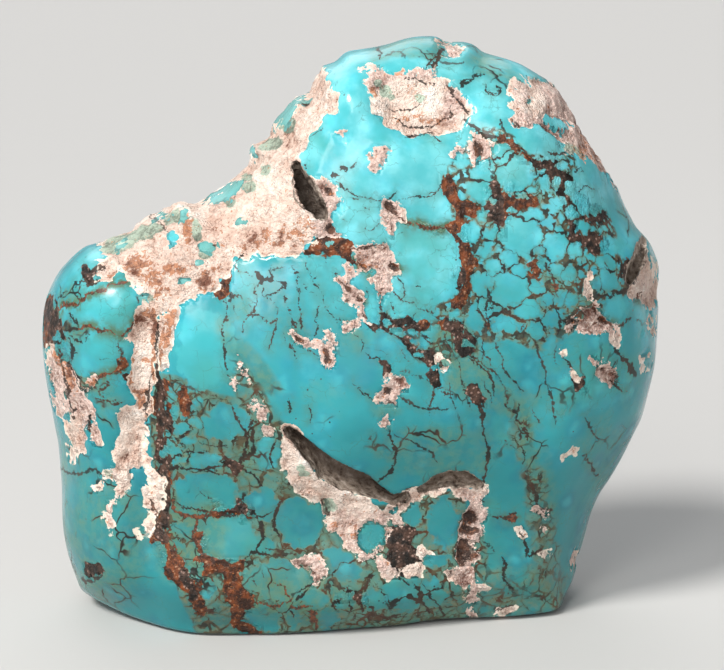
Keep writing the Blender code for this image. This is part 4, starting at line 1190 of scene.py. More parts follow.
def patch_distance(patches, u, v, reach=30.0):
    """Signed distance to the patches in drawing units, positive inside."""
    best = np.full(len(u), -reach)
    for patch in patches:
        line = spline(patch, count=3)
        lo, hi = line.min(axis=0) - reach, line.max(axis=0) + reach
        pick = np.where((u > lo[0]) & (u < hi[0]) & (v > lo[1]) & (v < hi[1]))[0]
        if not len(pick):
            continue
        d = distance_to_line(line, u[pick], v[pick])
        d = np.where(inside_polygon(line, u[pick], v[pick]), d, -d)
        best[pick] = np.maximum(best[pick], d)
    return best


print("meshing the stone")
low, high = (-96.0, -44.0, -1.7), (98.0, 46.0, 178.0)
verts, quads = surface_nets(low, high, 1.03)
for _ in range(3):
    g = gradient(verts)
    value = stone(verts)
    step = value / np.maximum((g * g).sum(axis=1), 0.05)
    verts -= g * np.clip(step, -0.8, 0.8)[:, None]
verts[:, 2] = np.maximum(verts[:, 2], 0.0)
print("fine mesh", len(verts), "vertices", len(quads) * 2, "triangles")

normal = -gradient(verts, 0.5)
normal /= np.maximum(np.linalg.norm(normal, axis=1), 1e-6)[:, None]
U, V = to_drawing(verts)
S = sample(U, V)
INSIDE, RIM = S[0], S[3]
behind = verts[:, 1] - RIM                       # mm behind the rim

# ------------------------------------------------------- masks on vertices
big = fractal(verts, 14.0, 3, 3)
mid = fractal(verts, 4.5, 3, 9)
fine = fractal(verts, 1.9, 2, 21)
# Scalloped edges: turquoise bulges into the matrix in round lobes.
lobe = 0.8 * (0.5 * 4.4 - cell_distance(verts, 4.4, 1)) \
    + 0.5 * (0.5 * 2.2 - cell_distance(verts, 2.2, 2))


def wrap(distance, over):
    """Front patches end a little way behind the rim."""
    return distance * UNIT - np.maximum(0.0, behind - over - 4.0 * big) * 0.8


pink = wrap(patch_distance(PINK, U, V), 6.0) + 0.25
rust = wrap(patch_distance(RUST, U, V), 0.0) + 0.35
dark = wrap(patch_distance(DARK, U, V), 0.0) + 0.35
ground = np.zeros(len(verts))
for amount, outline in GROUND:
    d = wrap(patch_distance([outline], U, V), 0.0)
    ground = np.maximum(ground, amount * smoothstep(-3.5, 2.0, d + 1.6 * big))

# Rule-based patches behind the rim: where a slow noise runs high.
back_side = smoothstep(0.0, 9.0, behind)
off = (1 - back_side) * 9
zone = fractal(verts, 34.0, 4, 33) + 0.30 * mid
pink = np.maximum(pink, np.where(behind > 0, (zone - 0.40) * 18.0 - off, -9))
zone2 = fractal(verts, 24.0, 4, 51) + 0.3 * mid
dark = np.maximum(dark, np.where(behind > 0, (zone2 - 0.47) * 12 - off, -9))
zone3 = fractal(verts, 22.0, 4, 71) + 0.3 * mid
rust = np.maximum(rust, np.where(behind > 0, (zone3 - 0.47) * 12 - off, -9))
zone4 = fractal(verts, 40.0, 3, 95)
ground = np.maximum(ground, back_side * 0.90 * smoothstep(-0.02, 0.33, zone4 + 0.5 * np.maximum(zone2, zone3)))

pink = pink - lobe * smoothstep(-6, 0, pink)
rust = rust - 0.8 * lobe * smoothstep(-6, 0, rust)
dark = dark - 0.8 * lobe * smoothstep(-6, 0, dark)

front_only = 1.0 - smoothstep(2.0, 12.0, behind)
clouds = soft_sum(CLOUDS, U, V) * front_only
mauves = soft_sum([(u, v, 1.45 * ru, 1.45 * rv, t, a) for u, v, ru, rv, t, a in MAUVES], U, V) * front_only
stains = soft_sum(STAINS, U, V) * front_only
greys = soft_sum(GREYS, U, V) * front_only
plates = soft_sum(PLATES, U, V) * front_only
pits = wrap(patch_distance(PITS, U, V), 0.0) - 0.5 * lobe
rear_n = fractal(verts, 18.0, 3, 121)
clouds = np.maximum(clouds, back_side * 0.9 * smoothstep(0.05, 0.45, fractal(verts, 26.0, 3, 111)))
stains = np.maximum(stains, back_side * smoothstep(0.10, 0.45, rear_n))
greys = np.maximum(greys, back_side * smoothstep(0.20, 0.50, -rear_n))
pits = np.maximum(pits, np.where(behind > 0, (fractal(verts, 9.0, 3, 141) - 0.45) * 8.0 - off, -9))
plates = np.maximum(plates, back_side * smoothstep(0.10, 0.45, fractal(verts, 15.0, 3, 131)))

s_now = np.stack(S)
in_crevice = smoothstep(-1.2, 0.3, crevice_depth(verts, U, V, s_now) + 0.3)
in_crevice = np.where(verts[:, 1] > front_y(s_now) + 0.6, in_crevice, 0.0)
# Painted shade: how far a point lies inside a crevice, used to darken the crevice walls towards the bottom.
crevice_shade = np.clip((verts[:, 1] - front_y(s_now)) / 12.0, 0, 1) * in_crevice

nod = np.full(len(U), -9.0)
for cu, cv, ru, rv, turn, _ in NODULES:
    near = np.where((np.abs(U - cu) < ru + rv) & (np.abs(V - cv) < ru + rv) & (behind < 2.0))[0]
    c, s = math.cos(math.radians(turn)), math.sin(math.radians(turn))
    du, dv = U[near] - cu, V[near] - cv
    q = np.hypot((du * c + dv * s) / ru, (-du * s + dv * c) / rv)
    nod[near] = np.maximum(nod[near], (1.0 - q) * min(ru, rv) * UNIT)
nod = smoothstep(-0.3, 0.5, nod + 0.3 * lobe)

# ---------------------------------------------------------------- relief
rough = smoothstep(-0.2, 1.8, pink) * (1.0 - 0.35 * plates) * (1.0 - 0.9 * nod)
recess = (0.35 * smoothstep(-0.4, 0.5, pink) + 0.75 * smoothstep(0.2, 3.0, pink)) * (1.0 - 0.5 * plates) * (1.0 - 0.55 * nod)
crag = fractal(verts, 9.0, 4, 77)
ridged = 1.0 - 2.0 * np.abs(fractal(verts, 5.5, 3, 57))
grain = 1.15 * crag + 0.75 * mid + 0.5 * fine + 0.45 * ridged - 0.15
push = -recess - 0.25 * smoothstep(-0.2, 0.4, pink) + rough * grain * (0.45 + 0.8 * smoothstep(0.5, 3.5, pink)) - rough * 0.9 * smoothstep(-0.5, 1.0, pits)
fill = smoothstep(-0.3, 0.8, np.maximum(dark, rust))
push -= fill * (0.45 - 0.5 * fine) * (1 - rough)
push += in_crevice * 1.0 * fractal(verts * np.array([1.0, 0.30, 0.7]), 3.0, 3, 91)
flat = smoothstep(0.4, 3.0, verts[:, 2])
verts = verts + normal * (push * flat)[:, None]
verts[:, 2] = np.maximum(verts[:, 2], 0.0)

# ---------------------------------------------------------- pattern data
tri_a = quads[:, [0, 1, 2]]
tri_b = quads[:, [0, 2, 3]]
tris = np.concatenate([tri_a, tri_b])
mid_u, mid_v = U[tris].mean(axis=1), V[tris].mean(axis=1)
mid_behind = behind[tris].mean(axis=1)
front_tri = mid_behind < 1.5


def nodule_data():
    """For each triangle the two nearest nodules, as places within them."""
    n = len(tris)
    a_id, b_id = np.full(n, -1), np.full(n, -1)
    a_d, b_d = np.full(n, 1e9), np.full(n, 1e9)
    for k, (cu, cv, ru, rv, turn, _) in enumerate(NODULES):
        reach = max(ru, rv) * 1.7 + 8
        pick = np.where(front_tri & (np.abs(mid_u - cu) < reach) & (np.abs(mid_v - cv) < reach))[0]
        c, s = math.cos(math.radians(turn)), math.sin(math.radians(turn))
        du, dv = mid_u[pick] - cu, mid_v[pick] - cv
        q = np.hypot((du * c + dv * s) / ru, (-du * s + dv * c) / rv)
        d = (q - 1.0) * min(ru, rv)
        first = d < a_d[pick]
        i = pick[first]
        b_id[i], b_d[i] = a_id[i], a_d[i]
        a_id[i], a_d[i] = k, d[first]
        rest = pick[~first]
        dr = d[~first]
        second = dr < b_d[rest]
        b_id[rest[second]], b_d[rest[second]] = k, dr[second]
    table = np.array(NODULES + [(0, 0, 1, 1, 0, 0)], float)
    out = []
    for ids in (a_id, b_id):
        t = table[ids]
        c, s = np.cos(np.radians(t[:, 4])), np.sin(np.radians(t[:, 4]))
        du = U[tris] - t[:, 0][:, None]
        dv = V[tris] - t[:, 1][:, None]
        x = (du * c[:, None] + dv * s[:, None]) / t[:, 2][:, None]
        y = (-du * s[:, None] + dv * c[:, None]) / t[:, 3][:, None]
        size = np.repeat((np.minimum(t[:, 2], t[:, 3]) * UNIT)[:, None], 3, axis=1)
        gone = ids < 0
        x[gone], y[gone], size[gone] = 9.0, 9.0, 1.0
        ring = np.repeat(t[:, 5][:, None], 3, axis=1)
        tint = np.repeat((np.sin(ids * 12.9898) * 43758.5453 % 1.0)[:, None], 3, axis=1)
        out.append((np.stack([x, y, size], axis=2), ring, tint))
    return out


def vein_data(count=2):
    """For each triangle the nearest veins: distance across, half width left."""
    n = len(tris)
    ids = np.full((n, count), -1)
    seg = np.zeros((n, count, 6))
    best = np.full((n, count), 1e9)
    for k, (half, strength, points) in enumerate(VEINS):
        line = spline(points, closed=False, count=4)
        length = np.concatenate([[0], np.cumsum(np.linalg.norm(np.diff(line, axis=0), axis=1))])
        lo, hi = line.min(axis=0) - 12, line.max(axis=0) + 12
        pick = np.where(front_tri & (mid_u > lo[0]) & (mid_u < hi[0])
                        & (mid_v > lo[1]) & (mid_v < hi[1]))[0]
        if not len(pick):
            continue
        d_min = np.full(len(pick), 1e9)
        s_min = np.zeros((len(pick), 6))
        for i in range(len(line) - 1):
            (ax, ay), (bx, by) = line[i], line[i + 1]
            dx, dy = bx - ax, by - ay
            ln = math.hypot(dx, dy)
            if ln < 1e-6:
                continue
            t = np.clip(((mid_u[pick] - ax) * dx + (mid_v[pick] - ay) * dy) / ln ** 2, 0, 1)
            d = np.hypot(mid_u[pick] - ax - t * dx, mid_v[pick] - ay - t * dy)
            closer = d < d_min
            d_min[closer] = d[closer]
            along = (i + 0.5) / (len(line) - 1)
            taper = 0.40 + 0.60 * math.sin(math.pi * along) ** 0.5
            s_min[closer] = (ax, ay, dx / ln, dy / ln, ln, half * taper)
        for slot in range(count):
            closer = d_min < best[pick, slot]
            i = pick[closer]
            if slot + 1 < count:
                for later in range(count - 1, slot, -1):
                    best[i, later] = best[i, later - 1]
                    ids[i, later] = ids[i, later - 1]
                    seg[i, later] = seg[i, later - 1]
            best[i, slot] = d_min[closer]
            ids[i, slot] = k
            seg[i, slot] = s_min[closer]
            d_min = np.where(closer, 1e9, d_min)
    out = []
    strengths = np.array([v[1] for v in VEINS] + [0.0])
    for slot in range(count):
        s = seg[:, slot]
        du = U[tris] - s[:, 0][:, None]
        dv = V[tris] - s[:, 1][:, None]
        across = -du * s[:, 3][:, None] + dv * s[:, 2][:, None]
        along = du * s[:, 2][:, None] + dv * s[:, 3][:, None]
        beyond = np.maximum(0, np.maximum(-along, along - s[:, 4][:, None]))
        width = s[:, 5][:, None] - beyond * 0.8
        gone = ids[:, slot] < 0
        across[gone], width[gone] = 99.0, -9.0
        power = np.repeat(strengths[ids[:, slot]][:, None], 3, axis=1)
        out.append(np.stack([across * UNIT, np.clip(width, -6, 9) * UNIT, power], axis=2))
    return out


# Soft halo around the veins and nodule seams, on vertices.
halo = np.zeros(len(verts))
front_v = behind < 3.0
for half, strength, points in VEINS:
    line = spline(points, closed=False, count=2)
    lo, hi = line.min(axis=0) - 30, line.max(axis=0) + 30
    pick = np.where(front_v & (U > lo[0]) & (U < hi[0]) & (V > lo[1]) & (V < hi[1]))[0]
    if len(pick):
        d = distance_to_line(line, U[pick], V[pick], closed=False)
        halo[pick] = np.maximum(halo[pick], strength * np.exp(-(d / 7.0) ** 2))

# ================================================================ the object
mesh = bpy.data.meshes.new("turquoise_nugget_fine")
mesh.vertices.add(len(verts))
mesh.loops.add(len(tris) * 3)
mesh.polygons.add(len(tris))
centre = np.array([(verts[:, 0].min() + verts[:, 0].max()) / 2,
                   (verts[:, 1].min() + verts[:, 1].max()) / 2, 0.0])
mesh.vertices.foreach_set("co", ((verts - centre) * MM).ravel())
mesh.loops.foreach_set("vertex_index", tris.ravel().astype(np.int32))
mesh.polygons.foreach_set("loop_start", np.arange(0, len(tris) * 3, 3, dtype=np.int32))
mesh.polygons.foreach_set("use_smooth", np.ones(len(tris), bool))
mesh.update(calc_edges=True)
mesh.validate()
assert len(mesh.polygons) == len(tris)


def put(name, kind, domain, data):
    layer = mesh.attributes.new(name, kind, domain)
    layer.data.foreach_set("vector" if kind == "FLOAT_VECTOR" else "value",
                           np.ascontiguousarray(data, np.float32).ravel())


put("pink", "FLOAT", "POINT", pink)
put("rust", "FLOAT", "POINT", rust)
put("dark", "FLOAT", "POINT", dark)
put("halo", "FLOAT", "POINT", halo)
put("crevice_shade", "FLOAT", "POINT", crevice_shade)
put("crevice", "FLOAT", "POINT", in_crevice)
put("rear", "FLOAT", "POINT", smoothstep(-4.0, 4.0, behind + 3 * big))
put("ground", "FLOAT", "POINT", ground)
put("lobe", "FLOAT", "POINT", lobe)
put("grain", "FLOAT", "POINT", grain)
put("rough", "FLOAT", "POINT", rough)
put("fill", "FLOAT", "POINT", fill)
put("pits", "FLOAT", "POINT", pits)
put("clouds", "FLOAT", "POINT", clouds)
put("mauves", "FLOAT", "POINT", mauves)
put("stains", "FLOAT", "POINT", stains)
put("greys", "FLOAT", "POINT", greys)
put("plates", "FLOAT", "POINT", plates)
(cell_a, ring_a, tint_a), (cell_b, ring_b, tint_b) = nodule_data()
put("cell_a", "FLOAT_VECTOR", "CORNER", cell_a)
put("cell_b", "FLOAT_VECTOR", "CORNER", cell_b)
put("cell_c", "FLOAT_VECTOR", "CORNER", np.stack([ring_a, tint_a, ring_b], axis=2))
vein_1, vein_2 = vein_data()
put("vein_1", "FLOAT_VECTOR", "CORNER", vein_1)
put("vein_2", "FLOAT_VECTOR", "CORNER", vein_2)

# A UV map: front, back and base charts.
inside_c, rf_c, rb_c, rim_c, front_c, back_c = [f[tris] for f in S]
is_front = mid_behind < 0.0
nz = normal[tris][:, :, 2].mean(axis=1)
zc = verts[tris][:, :, 2].max(axis=1)
is_base = (nz < -0.8) & (zc < 1.2)


def chart(front):
    rr = rf_c if front else rb_c
    dd = (rim_c - front_c) if front else (back_c - rim_c)
    a = np.clip(1.0 - inside_c / rr, 0.0, 1.0)
    ang = np.arcsin(np.clip(a, 0, 1))
    arc = 0.0
    for k in range(6):
        t = ang * (k + 0.5) / 6
        arc = arc + np.sqrt((rr * UNIT * np.cos(t)) ** 2 + (dd * np.sin(t)) ** 2)
    arc = arc * ang / 6
    extra = arc - rr * UNIT * a
    x = (U[tris] - 350.0) * UNIT
    y = -(V[tris] - 350.0) * UNIT
    r = np.maximum(np.hypot(x, y), 1e-6)
    return x + x / r * extra, y + y / r * extra


uv = np.zeros((len(tris), 3, 2))
fx, fy = chart(True)
bx, by = chart(False)


def place(pick, x, y, left, bottom, width, height, turn=False):
    x, y = x[pick], y[pick]
    if turn:
        x, y = -y, x
    k = min(width / (x.max() - x.min()), height / (y.max() - y.min()))
    uv[pick, :, 0] = left + (x - x.min()) * k
    uv[pick, :, 1] = bottom + (y - y.min()) * k


f_pick = np.where(is_front & ~is_base)[0]
b_pick = np.where(~is_front & ~is_base)[0]
o_pick = np.where(is_base)[0]
place(f_pick, fx, fy, 0.005, 0.405, 0.60, 0.59)
place(b_pick, bx, by, 0.615, 0.55, 0.38, 0.445)
place(o_pick, verts[tris][:, :, 0], verts[tris][:, :, 1], 0.005, 0.005, 0.59, 0.39)
layer = mesh.uv_layers.new(name="OFBake")
layer.data.foreach_set("uv", uv.astype(np.float32).ravel())

stone_obj = bpy.data.objects.new("turquoise_nugget_surface", mesh)
bpy.context.scene.collection.objects.link(stone_obj)

# ============================================================== the material
mat = bpy.data.materials.new("turquoise_stone")
mat.use_nodes = True
tree = mat.node_tree
nodes, links = tree.nodes, tree.links
shader = nodes["Principled BSDF"]
coords = nodes.new("ShaderNodeTexCoord").outputs["Object"]


def feed(socket, value):
    if isinstance(value, bpy.types.NodeSocket):
        links.new(value, socket)
    elif isinstance(value, (tuple, list)):
        socket.default_value = (tuple(value) + (1.0,))[:4] if len(socket.default_value) == 4 else value
    else:
        socket.default_value = value


def op(kind, a, b=0.0, c=0.0, clamp=False):
    n = nodes.new("ShaderNodeMath")
    n.operation = kind
    n.use_clamp = clamp
    feed(n.inputs[0], a)
    feed(n.inputs[1], b)
    feed(n.inputs[2], c)
    return n.outputs[0]


def add(a, b): return op("ADD", a, b)
def sub(a, b): return op("SUBTRACT", a, b)
def mul(a, b): return op("MULTIPLY", a, b)


def ramp(x, a, b, low=0.0, high=1.0):
    n = nodes.new("ShaderNodeMapRange")
    n.interpolation_type = "SMOOTHSTEP"
    flip = isinstance(a, (int, float)) and isinstance(b, (int, float)) and a > b
    if flip:
        a, b, low, high = b, a, high, low
    feed(n.inputs["Value"], x)
    feed(n.inputs["From Min"], a)
    feed(n.inputs["From Max"], b)
    feed(n.inputs["To Min"], low)
    feed(n.inputs["To Max"], high)
    return n.outputs["Result"]


def mix(f, a, b):
    n = nodes.new("ShaderNodeMix")
    n.data_type = "RGBA"
    feed(n.inputs[0], f)
    feed(n.inputs[6], a)
    feed(n.inputs[7], b)
    return n.outputs[2]


def noise(size, detail=3.0, rough=0.55, where=None, out="Fac", warp=0.0):
    n = nodes.new("ShaderNodeTexNoise")
    feed(n.inputs["Vector"], coords if where is None else where)
    n.inputs["Scale"].default_value = 1000.0 / size
    n.inputs["Detail"].default_value = detail
    n.inputs["Roughness"].default_value = rough
    n.inputs["Distortion"].default_value = warp
    return n.outputs[out]


def centred(x):
    return sub(x, 0.5)


def warped(size, amount, detail=2.0):
    """Coordinates pushed about by noise; size and amount in mm."""
    n = nodes.new("ShaderNodeVectorMath")
    n.operation = "SUBTRACT"
    links.new(noise(size, detail, out="Color"), n.inputs[0])
    n.inputs[1].default_value = (0.5, 0.5, 0.5)
    m = nodes.new("ShaderNodeVectorMath")
    m.operation = "MULTIPLY_ADD"
    links.new(n.outputs[0], m.inputs[0])
    m.inputs[1].default_value = (amount * MM,) * 3
    links.new(coords, m.inputs[2])
    return m.outputs[0]


def cells(size, where, feature="DISTANCE_TO_EDGE"):
    n = nodes.new("ShaderNodeTexVoronoi")
    n.feature = feature
    feed(n.inputs["Vector"], where)
    n.inputs["Scale"].default_value = 1000.0 / size
    return n


def attribute(name, vector=False):
    n = nodes.new("ShaderNodeAttribute")
    n.attribute_name = name
    if not vector:
        return n.outputs["Fac"]
    s = nodes.new("ShaderNodeSeparateXYZ")
    links.new(n.outputs["Vector"], s.inputs[0])
    return s.outputs[0], s.outputs[1], s.outputs[2]


a_pink, a_rust, a_dark = attribute("pink"), attribute("rust"), attribute("dark")
a_halo, a_crevice_shade, a_crev = attribute("halo"), attribute("crevice_shade"), attribute("crevice")
a_rear, a_ground, a_lobe = attribute("rear"), attribute("ground"), attribute("lobe")
a_grain, a_rough, a_fill = attribute("grain"), attribute("rough"), attribute("fill")
a_cloud, a_stain = attribute("clouds"), attribute("stains")
a_grey, a_plate = attribute("greys"), attribute("plates")
a_pit, a_mauve = attribute("pits"), attribute("mauves")
a_mauve = op("MINIMUM", mul(a_mauve, 1.7), 1.0)
height_in = nodes.new("ShaderNodeSeparateXYZ")
links.new(coords, height_in.inputs[0])
ax, ay, a_size = attribute("cell_a", True)
bx_, by_, b_size = attribute("cell_b", True)
ring_a, tint_a, ring_b = attribute("cell_c", True)

n_slow = noise(34, 3)
n_mid = noise(9, 4)
n_small = noise(2.6, 4, 0.6)
n_tiny = noise(0.9, 3, 0.65)

edge_noise = add(mul(centred(n_small), 1.5), mul(centred(n_tiny), 1.1))
upper = ramp(add(height_in.outputs[2], mul(centred(n_slow), 0.02)), 0.078, 0.094)


def length(x, y):
    return op("SQRT", add(mul(x, x), mul(y, y)))


# One warp for every drawn shape: it bends outlines and seams alike, in mm.
warp_n = nodes.new("ShaderNodeSeparateXYZ")
links.new(noise(4.6, 3, 0.62, out="Color"), warp_n.inputs[0])
warp_x = mul(centred(warp_n.outputs[0]), 6.0)
warp_y = mul(centred(warp_n.outputs[1]), 6.0)


def inside_cell(x, y, size):
    far = length(add(x, op("DIVIDE", warp_x, size)), add(y, op("DIVIDE", warp_y, size)))
    return mul(sub(1.0, far), size)


# Nodules: depth inside each, in mm, with a lobed edge.
lobe_f = mul(sub(0.42, cells(2.7, warped(2.0, 1.2), "F1").outputs["Distance"]), 1.5)
lobes = add(add(mul(a_lobe, 0.35), lobe_f), mul(centred(n_tiny), 0.5))
cell_1 = inside_cell(ax, ay, a_size)
cell_2 = inside_cell(bx_, by_, b_size)
in_a, in_b = add(cell_1, lobes), add(cell_2, lobes)
in_nodule = op("MAXIMUM", in_a, in_b)
nodule = ramp(in_nodule, -0.10, 0.10)
seam_gap = op("ABSOLUTE", sub(cell_1, cell_2))
both = ramp(op("MINIMUM", in_a, in_b), -1.3, -0.3)
in_ground = ramp(add(a_ground, mul(centred(n_mid), 0.7)), 0.30, 0.60)
seam_width = ramp(noise(5.5, 3), 0.36, 0.66, 0.02, 0.75)
seam_gate = op("MAXIMUM", in_ground, ramp(n_mid, 0.50, 0.60))
seam_ab = mul(mul(ramp(sub(seam_gap, seam_width), 0.14, -0.04), both), seam_gate)
nodule_seam = seam_ab
seam_soft = mul(mul(ramp(seam_gap, 1.9, 0.1), both), seam_gate)

shake = add(add(mul(warp_x, 0.50), mul(centred(n_small), 2.0)), mul(centred(n_tiny), 1.1))
thick = ramp(noise(3.0, 3, 0.6), 0.36, 0.66, 0.45, 2.1)


def vein(name):
    d, w, power = attribute(name, True)
    is_rust = op("GREATER_THAN", power, 1.5)
    power = sub(power, mul(is_rust, 2.0))
    dist = op("ABSOLUTE", add(d, shake))
    line = mul(ramp(sub(dist, mul(w, thick)), 0.18, -0.04), op("MINIMUM", mul(power, 1.15), 1.0))
    return line, mul(line, is_rust)


v1, r1 = vein("vein_1")
v2, r2 = vein("vein_2")
veins = op("MAXIMUM", v1, v2)
rusty = op("MAXIMUM", r1, r2)

# Fine network by rule: warped cells, broken by slow noise.
net_where = warped(6.0, 5.5, 2.0)
net_a = cells(11.0, net_where).outputs["Distance"]
small_where = warped(2.4, 2.6, 3.0)
net_b = mul(cells(2.7, small_where).outputs["Distance"], 2.7)
gate_a = ramp(noise(15, 2), 0.48, 0.60)
gate_a = mul(gate_a, op("MAXIMUM", ramp(a_cloud, 0.10, 0.50), a_rear))
line_a = mul(ramp(net_a, 0.030, 0.010), gate_a)
soft_net = mul(ramp(net_a, 0.14, 0.0), gate_a)
speck_cell = cells(4.4, coords, "F1").outputs["Distance"]
dots = mul(ramp(speck_cell, 0.075, 0.045), ramp(n_slow, 0.48, 0.60))
network = op("MAXIMUM", line_a, dots)

# Between the nodules: small cobbles of turquoise in brown matrix above,
# and wider cells with thin seams below.
gap = mul(sub(1.0, nodule), in_ground)
cob_seam = ramp(sub(net_b, ramp(noise(3.4, 2), 0.35, 0.68, 0.03, 0.75)), 0.08, -0.06)
net_c = mul(cells(5.2, warped(4.6, 4.2, 2.0)).outputs["Distance"], 5.2)
low_seam = ramp(sub(net_c, ramp(noise(5.0, 3), 0.36, 0.70, -0.02, 0.55)), 0.10, -0.05)
low_soft = ramp(net_c, 0.9, 0.1)
upper = op("MAXIMUM", upper, ramp(a_ground, 0.93, 0.99))
cob_seam = add(mul(cob_seam, upper), mul(op("MAXIMUM", low_seam, mul(cob_seam, ramp(n_mid, 0.55, 0.64))), sub(1.0, upper)))
cob_dark = mul(gap, cob_seam)

# Matrix masks. Nodules stand clear of rust, dark and pink matrix.
clear = sub(1.0, nodule)
pink_in = sub(add(a_pink, mul(edge_noise, add(mul(a_mauve, 1.9), 1.0))), mul(lobe_f, 0.8))
pink_in = sub(pink_in, mul(a_mauve, 0.30))
m_pink = mul(ramp(pink_in, -0.06, 0.12), clear)
rust_in = sub(add(a_rust, edge_noise), mul(lobe_f, 0.7))
m_rust = mul(ramp(rust_in, -0.08, 0.14), clear)
dark_in = sub(add(a_dark, edge_noise), mul(lobe_f, 0.7))
m_dark = mul(ramp(dark_in, -0.08, 0.14), clear)

# Turquoise: clear blue-green in the nodules, greener ground between them.
blue = mix(ramp(n_slow, 0.35, 0.65), (0.014, 0.245, 0.325), (0.030, 0.350, 0.430))
blue = mix(mul(ramp(n_mid, 0.42, 0.68), 0.55), blue, (0.060, 0.450, 0.520))
blue = mix(mul(mul(tint_a, ramp(in_nodule, 0.2, 1.6)), 0.60), blue, (0.085, 0.540, 0.610))
# Painted light and shade: the turquoise is mixed deeper towards the bottom of the stone and paler, brighter towards
# its top, standing in for light falling from above.
painted_shade_low = ramp(add(height_in.outputs[2], mul(centred(n_slow), 0.08)), 0.115, 0.020)
painted_light_high = ramp(add(height_in.outputs[2], mul(centred(n_slow), 0.08)), 0.085, 0.155)
blue = mix(mul(painted_shade_low, 0.75), blue, (0.012, 0.140, 0.172))
blue = mix(mul(painted_light_high, 0.80), blue, mix(ramp(n_mid, 0.36, 0.66), (0.110, 0.560, 0.640), (0.270, 0.760, 0.830)))
cloud = ramp(noise(22, 4, 0.6, where=warped(15, 12)), 0.50, 0.70)
blue = mix(mul(cloud, 0.55), blue, (0.060, 0.300, 0.255))
ground_col = mix(ramp(n_mid, 0.35, 0.65), (0.050, 0.165, 0.140), (0.125, 0.235, 0.170))
ground_col = mix(ramp(n_small, 0.46, 0.66), ground_col, (0.165, 0.175, 0.095))
ground_col = mix(ramp(n_tiny, 0.60, 0.72), ground_col, (0.060, 0.045, 0.025))
blue_in = ramp(in_nodule, -0.2, 0.9)
open_ground = mul(in_ground, sub(1.0, mul(blue_in, 0.95)))
cobble = ramp(net_b, 0.1, 1.0)
cobble = mul(cobble, add(mul(upper, 0.75), 0.25))
ground_col = mix(cobble, ground_col, blue)
body = cells(9.0, net_where, "F1").outputs["Distance"]
blue = mix(mul(ramp(body, 0.20, 0.62), 0.38), blue, (0.030, 0.290, 0.270))
blue = mix(mul(ramp(body, 0.34, 0.06), 0.30), blue, (0.080, 0.540, 0.560))
hair = mul(cells(5.5, warped(3.2, 4.5, 3.0)).outputs["Distance"], 5.5)
hair = mul(ramp(hair, 0.13, 0.03), ramp(n_mid, 0.47, 0.60))
blue = mix(mul(hair, 0.42), blue, (0.050, 0.130, 0.100))
colour = mix(mul(open_ground, 0.88), blue, ground_col)
colour = mix(mul(mul(gap, low_soft), mul(sub(1.0, upper), 0.55)), colour, (0.080, 0.100, 0.055))
olive = op("MAXIMUM", mul(a_halo, 0.75), op("MAXIMUM", soft_net, mul(seam_soft, 0.9)))
olive = mul(olive, ramp(n_small, 0.32, 0.62, 0.15, 1.0))
colour = mix(mul(olive, 0.60), colour, (0.075, 0.160, 0.105))
# The haze lays down the olive tints and, at the lower left and the right edge, painted shade.
haze = ramp(add(a_cloud, mul(centred(n_mid), 1.1)), 0.25, 0.95)
colour = mix(mul(haze, 0.75), colour, mix(ramp(n_small, 0.4, 0.6), (0.046, 0.190, 0.165), (0.100, 0.210, 0.135)))
muted = mul(nodule, ramp(ring_a, 0.75, 0.55))
colour = mix(mul(muted, 0.55), colour, (0.200, 0.360, 0.290))

# Matrix colours. The rough matrix is a crust of small lumps with dark gaps, and its colour also carries painted
# shade from its relief.
lump = cells(2.3, warped(2.2, 1.8), "F1").outputs["Distance"]
texture_in = add(mul(centred(n_tiny), 3.2), mul(sub(0.45, lump), 1.0))
# Painted shade and light: the tone follows the mesh relief (grain), darker in its hollows and paler on its tops,
# over the crust's own mottling.
tone_with_relief_shade = add(mul(a_grain, 0.95), mul(texture_in, sub(1.0, mul(a_plate, 0.5))))
tone_with_relief_shade = add(tone_with_relief_shade, mul(a_plate, 0.35))
pink_col = mix(ramp(tone_with_relief_shade, -1.35, -0.50), (0.240, 0.110, 0.075), (0.760, 0.540, 0.440))
pink_col = mix(ramp(tone_with_relief_shade, -0.60, 0.40), pink_col, (0.900, 0.740, 0.640))
pink_col = mix(ramp(tone_with_relief_shade, 0.40, 1.20), pink_col, (0.950, 0.880, 0.810))
pink_col = mix(mul(ramp(n_mid, 0.54, 0.66), 0.30), pink_col, (0.580, 0.330, 0.240))
crack = ramp(op("ABSOLUTE", centred(noise(3.2, 4, 0.7))), 0.022, 0.004)
pink_col = mix(mul(mul(crack, 0.65), ramp(n_mid, 0.42, 0.58)), pink_col, (0.200, 0.095, 0.065))
blotch = add(mul(centred(n_small), 3.2), mul(centred(n_tiny), 2.4))
mauve = mul(a_mauve, ramp(add(mul(a_mauve, 0.9), blotch), 0.10, 0.90))
mauve_col = mix(ramp(tone_with_relief_shade, -1.2, 0.3), (0.190, 0.080, 0.060), (0.720, 0.510, 0.450))
mauve_col = mix(ramp(n_tiny, 0.54, 0.64), mauve_col, (0.930, 0.800, 0.720))
mauve_col = mix(ramp(n_tiny, 0.42, 0.34), mauve_col, (0.060, 0.026, 0.018))
pink_col = mix(mul(mauve, 0.85), pink_col, mauve_col)
pit = ramp(add(a_pit, mul(edge_noise, 1.8)), 0.04, 0.42)
pit_col = mix(ramp(n_small, 0.44, 0.60), (0.022, 0.010, 0.007), (0.120, 0.050, 0.028))
pit_col = mix(ramp(n_tiny, 0.58, 0.70), pit_col, (0.420, 0.270, 0.210))
pink_col = mix(mul(pit, 0.92), pink_col, pit_col)
grey = ramp(add(a_grey, mul(centred(n_small), 1.6)), 0.35, 0.65)
pink_col = mix(mul(grey, 0.85), pink_col, mix(ramp(tone_with_relief_shade, -0.6, 0.6), (0.150, 0.230, 0.180), (0.420, 0.560, 0.440)))
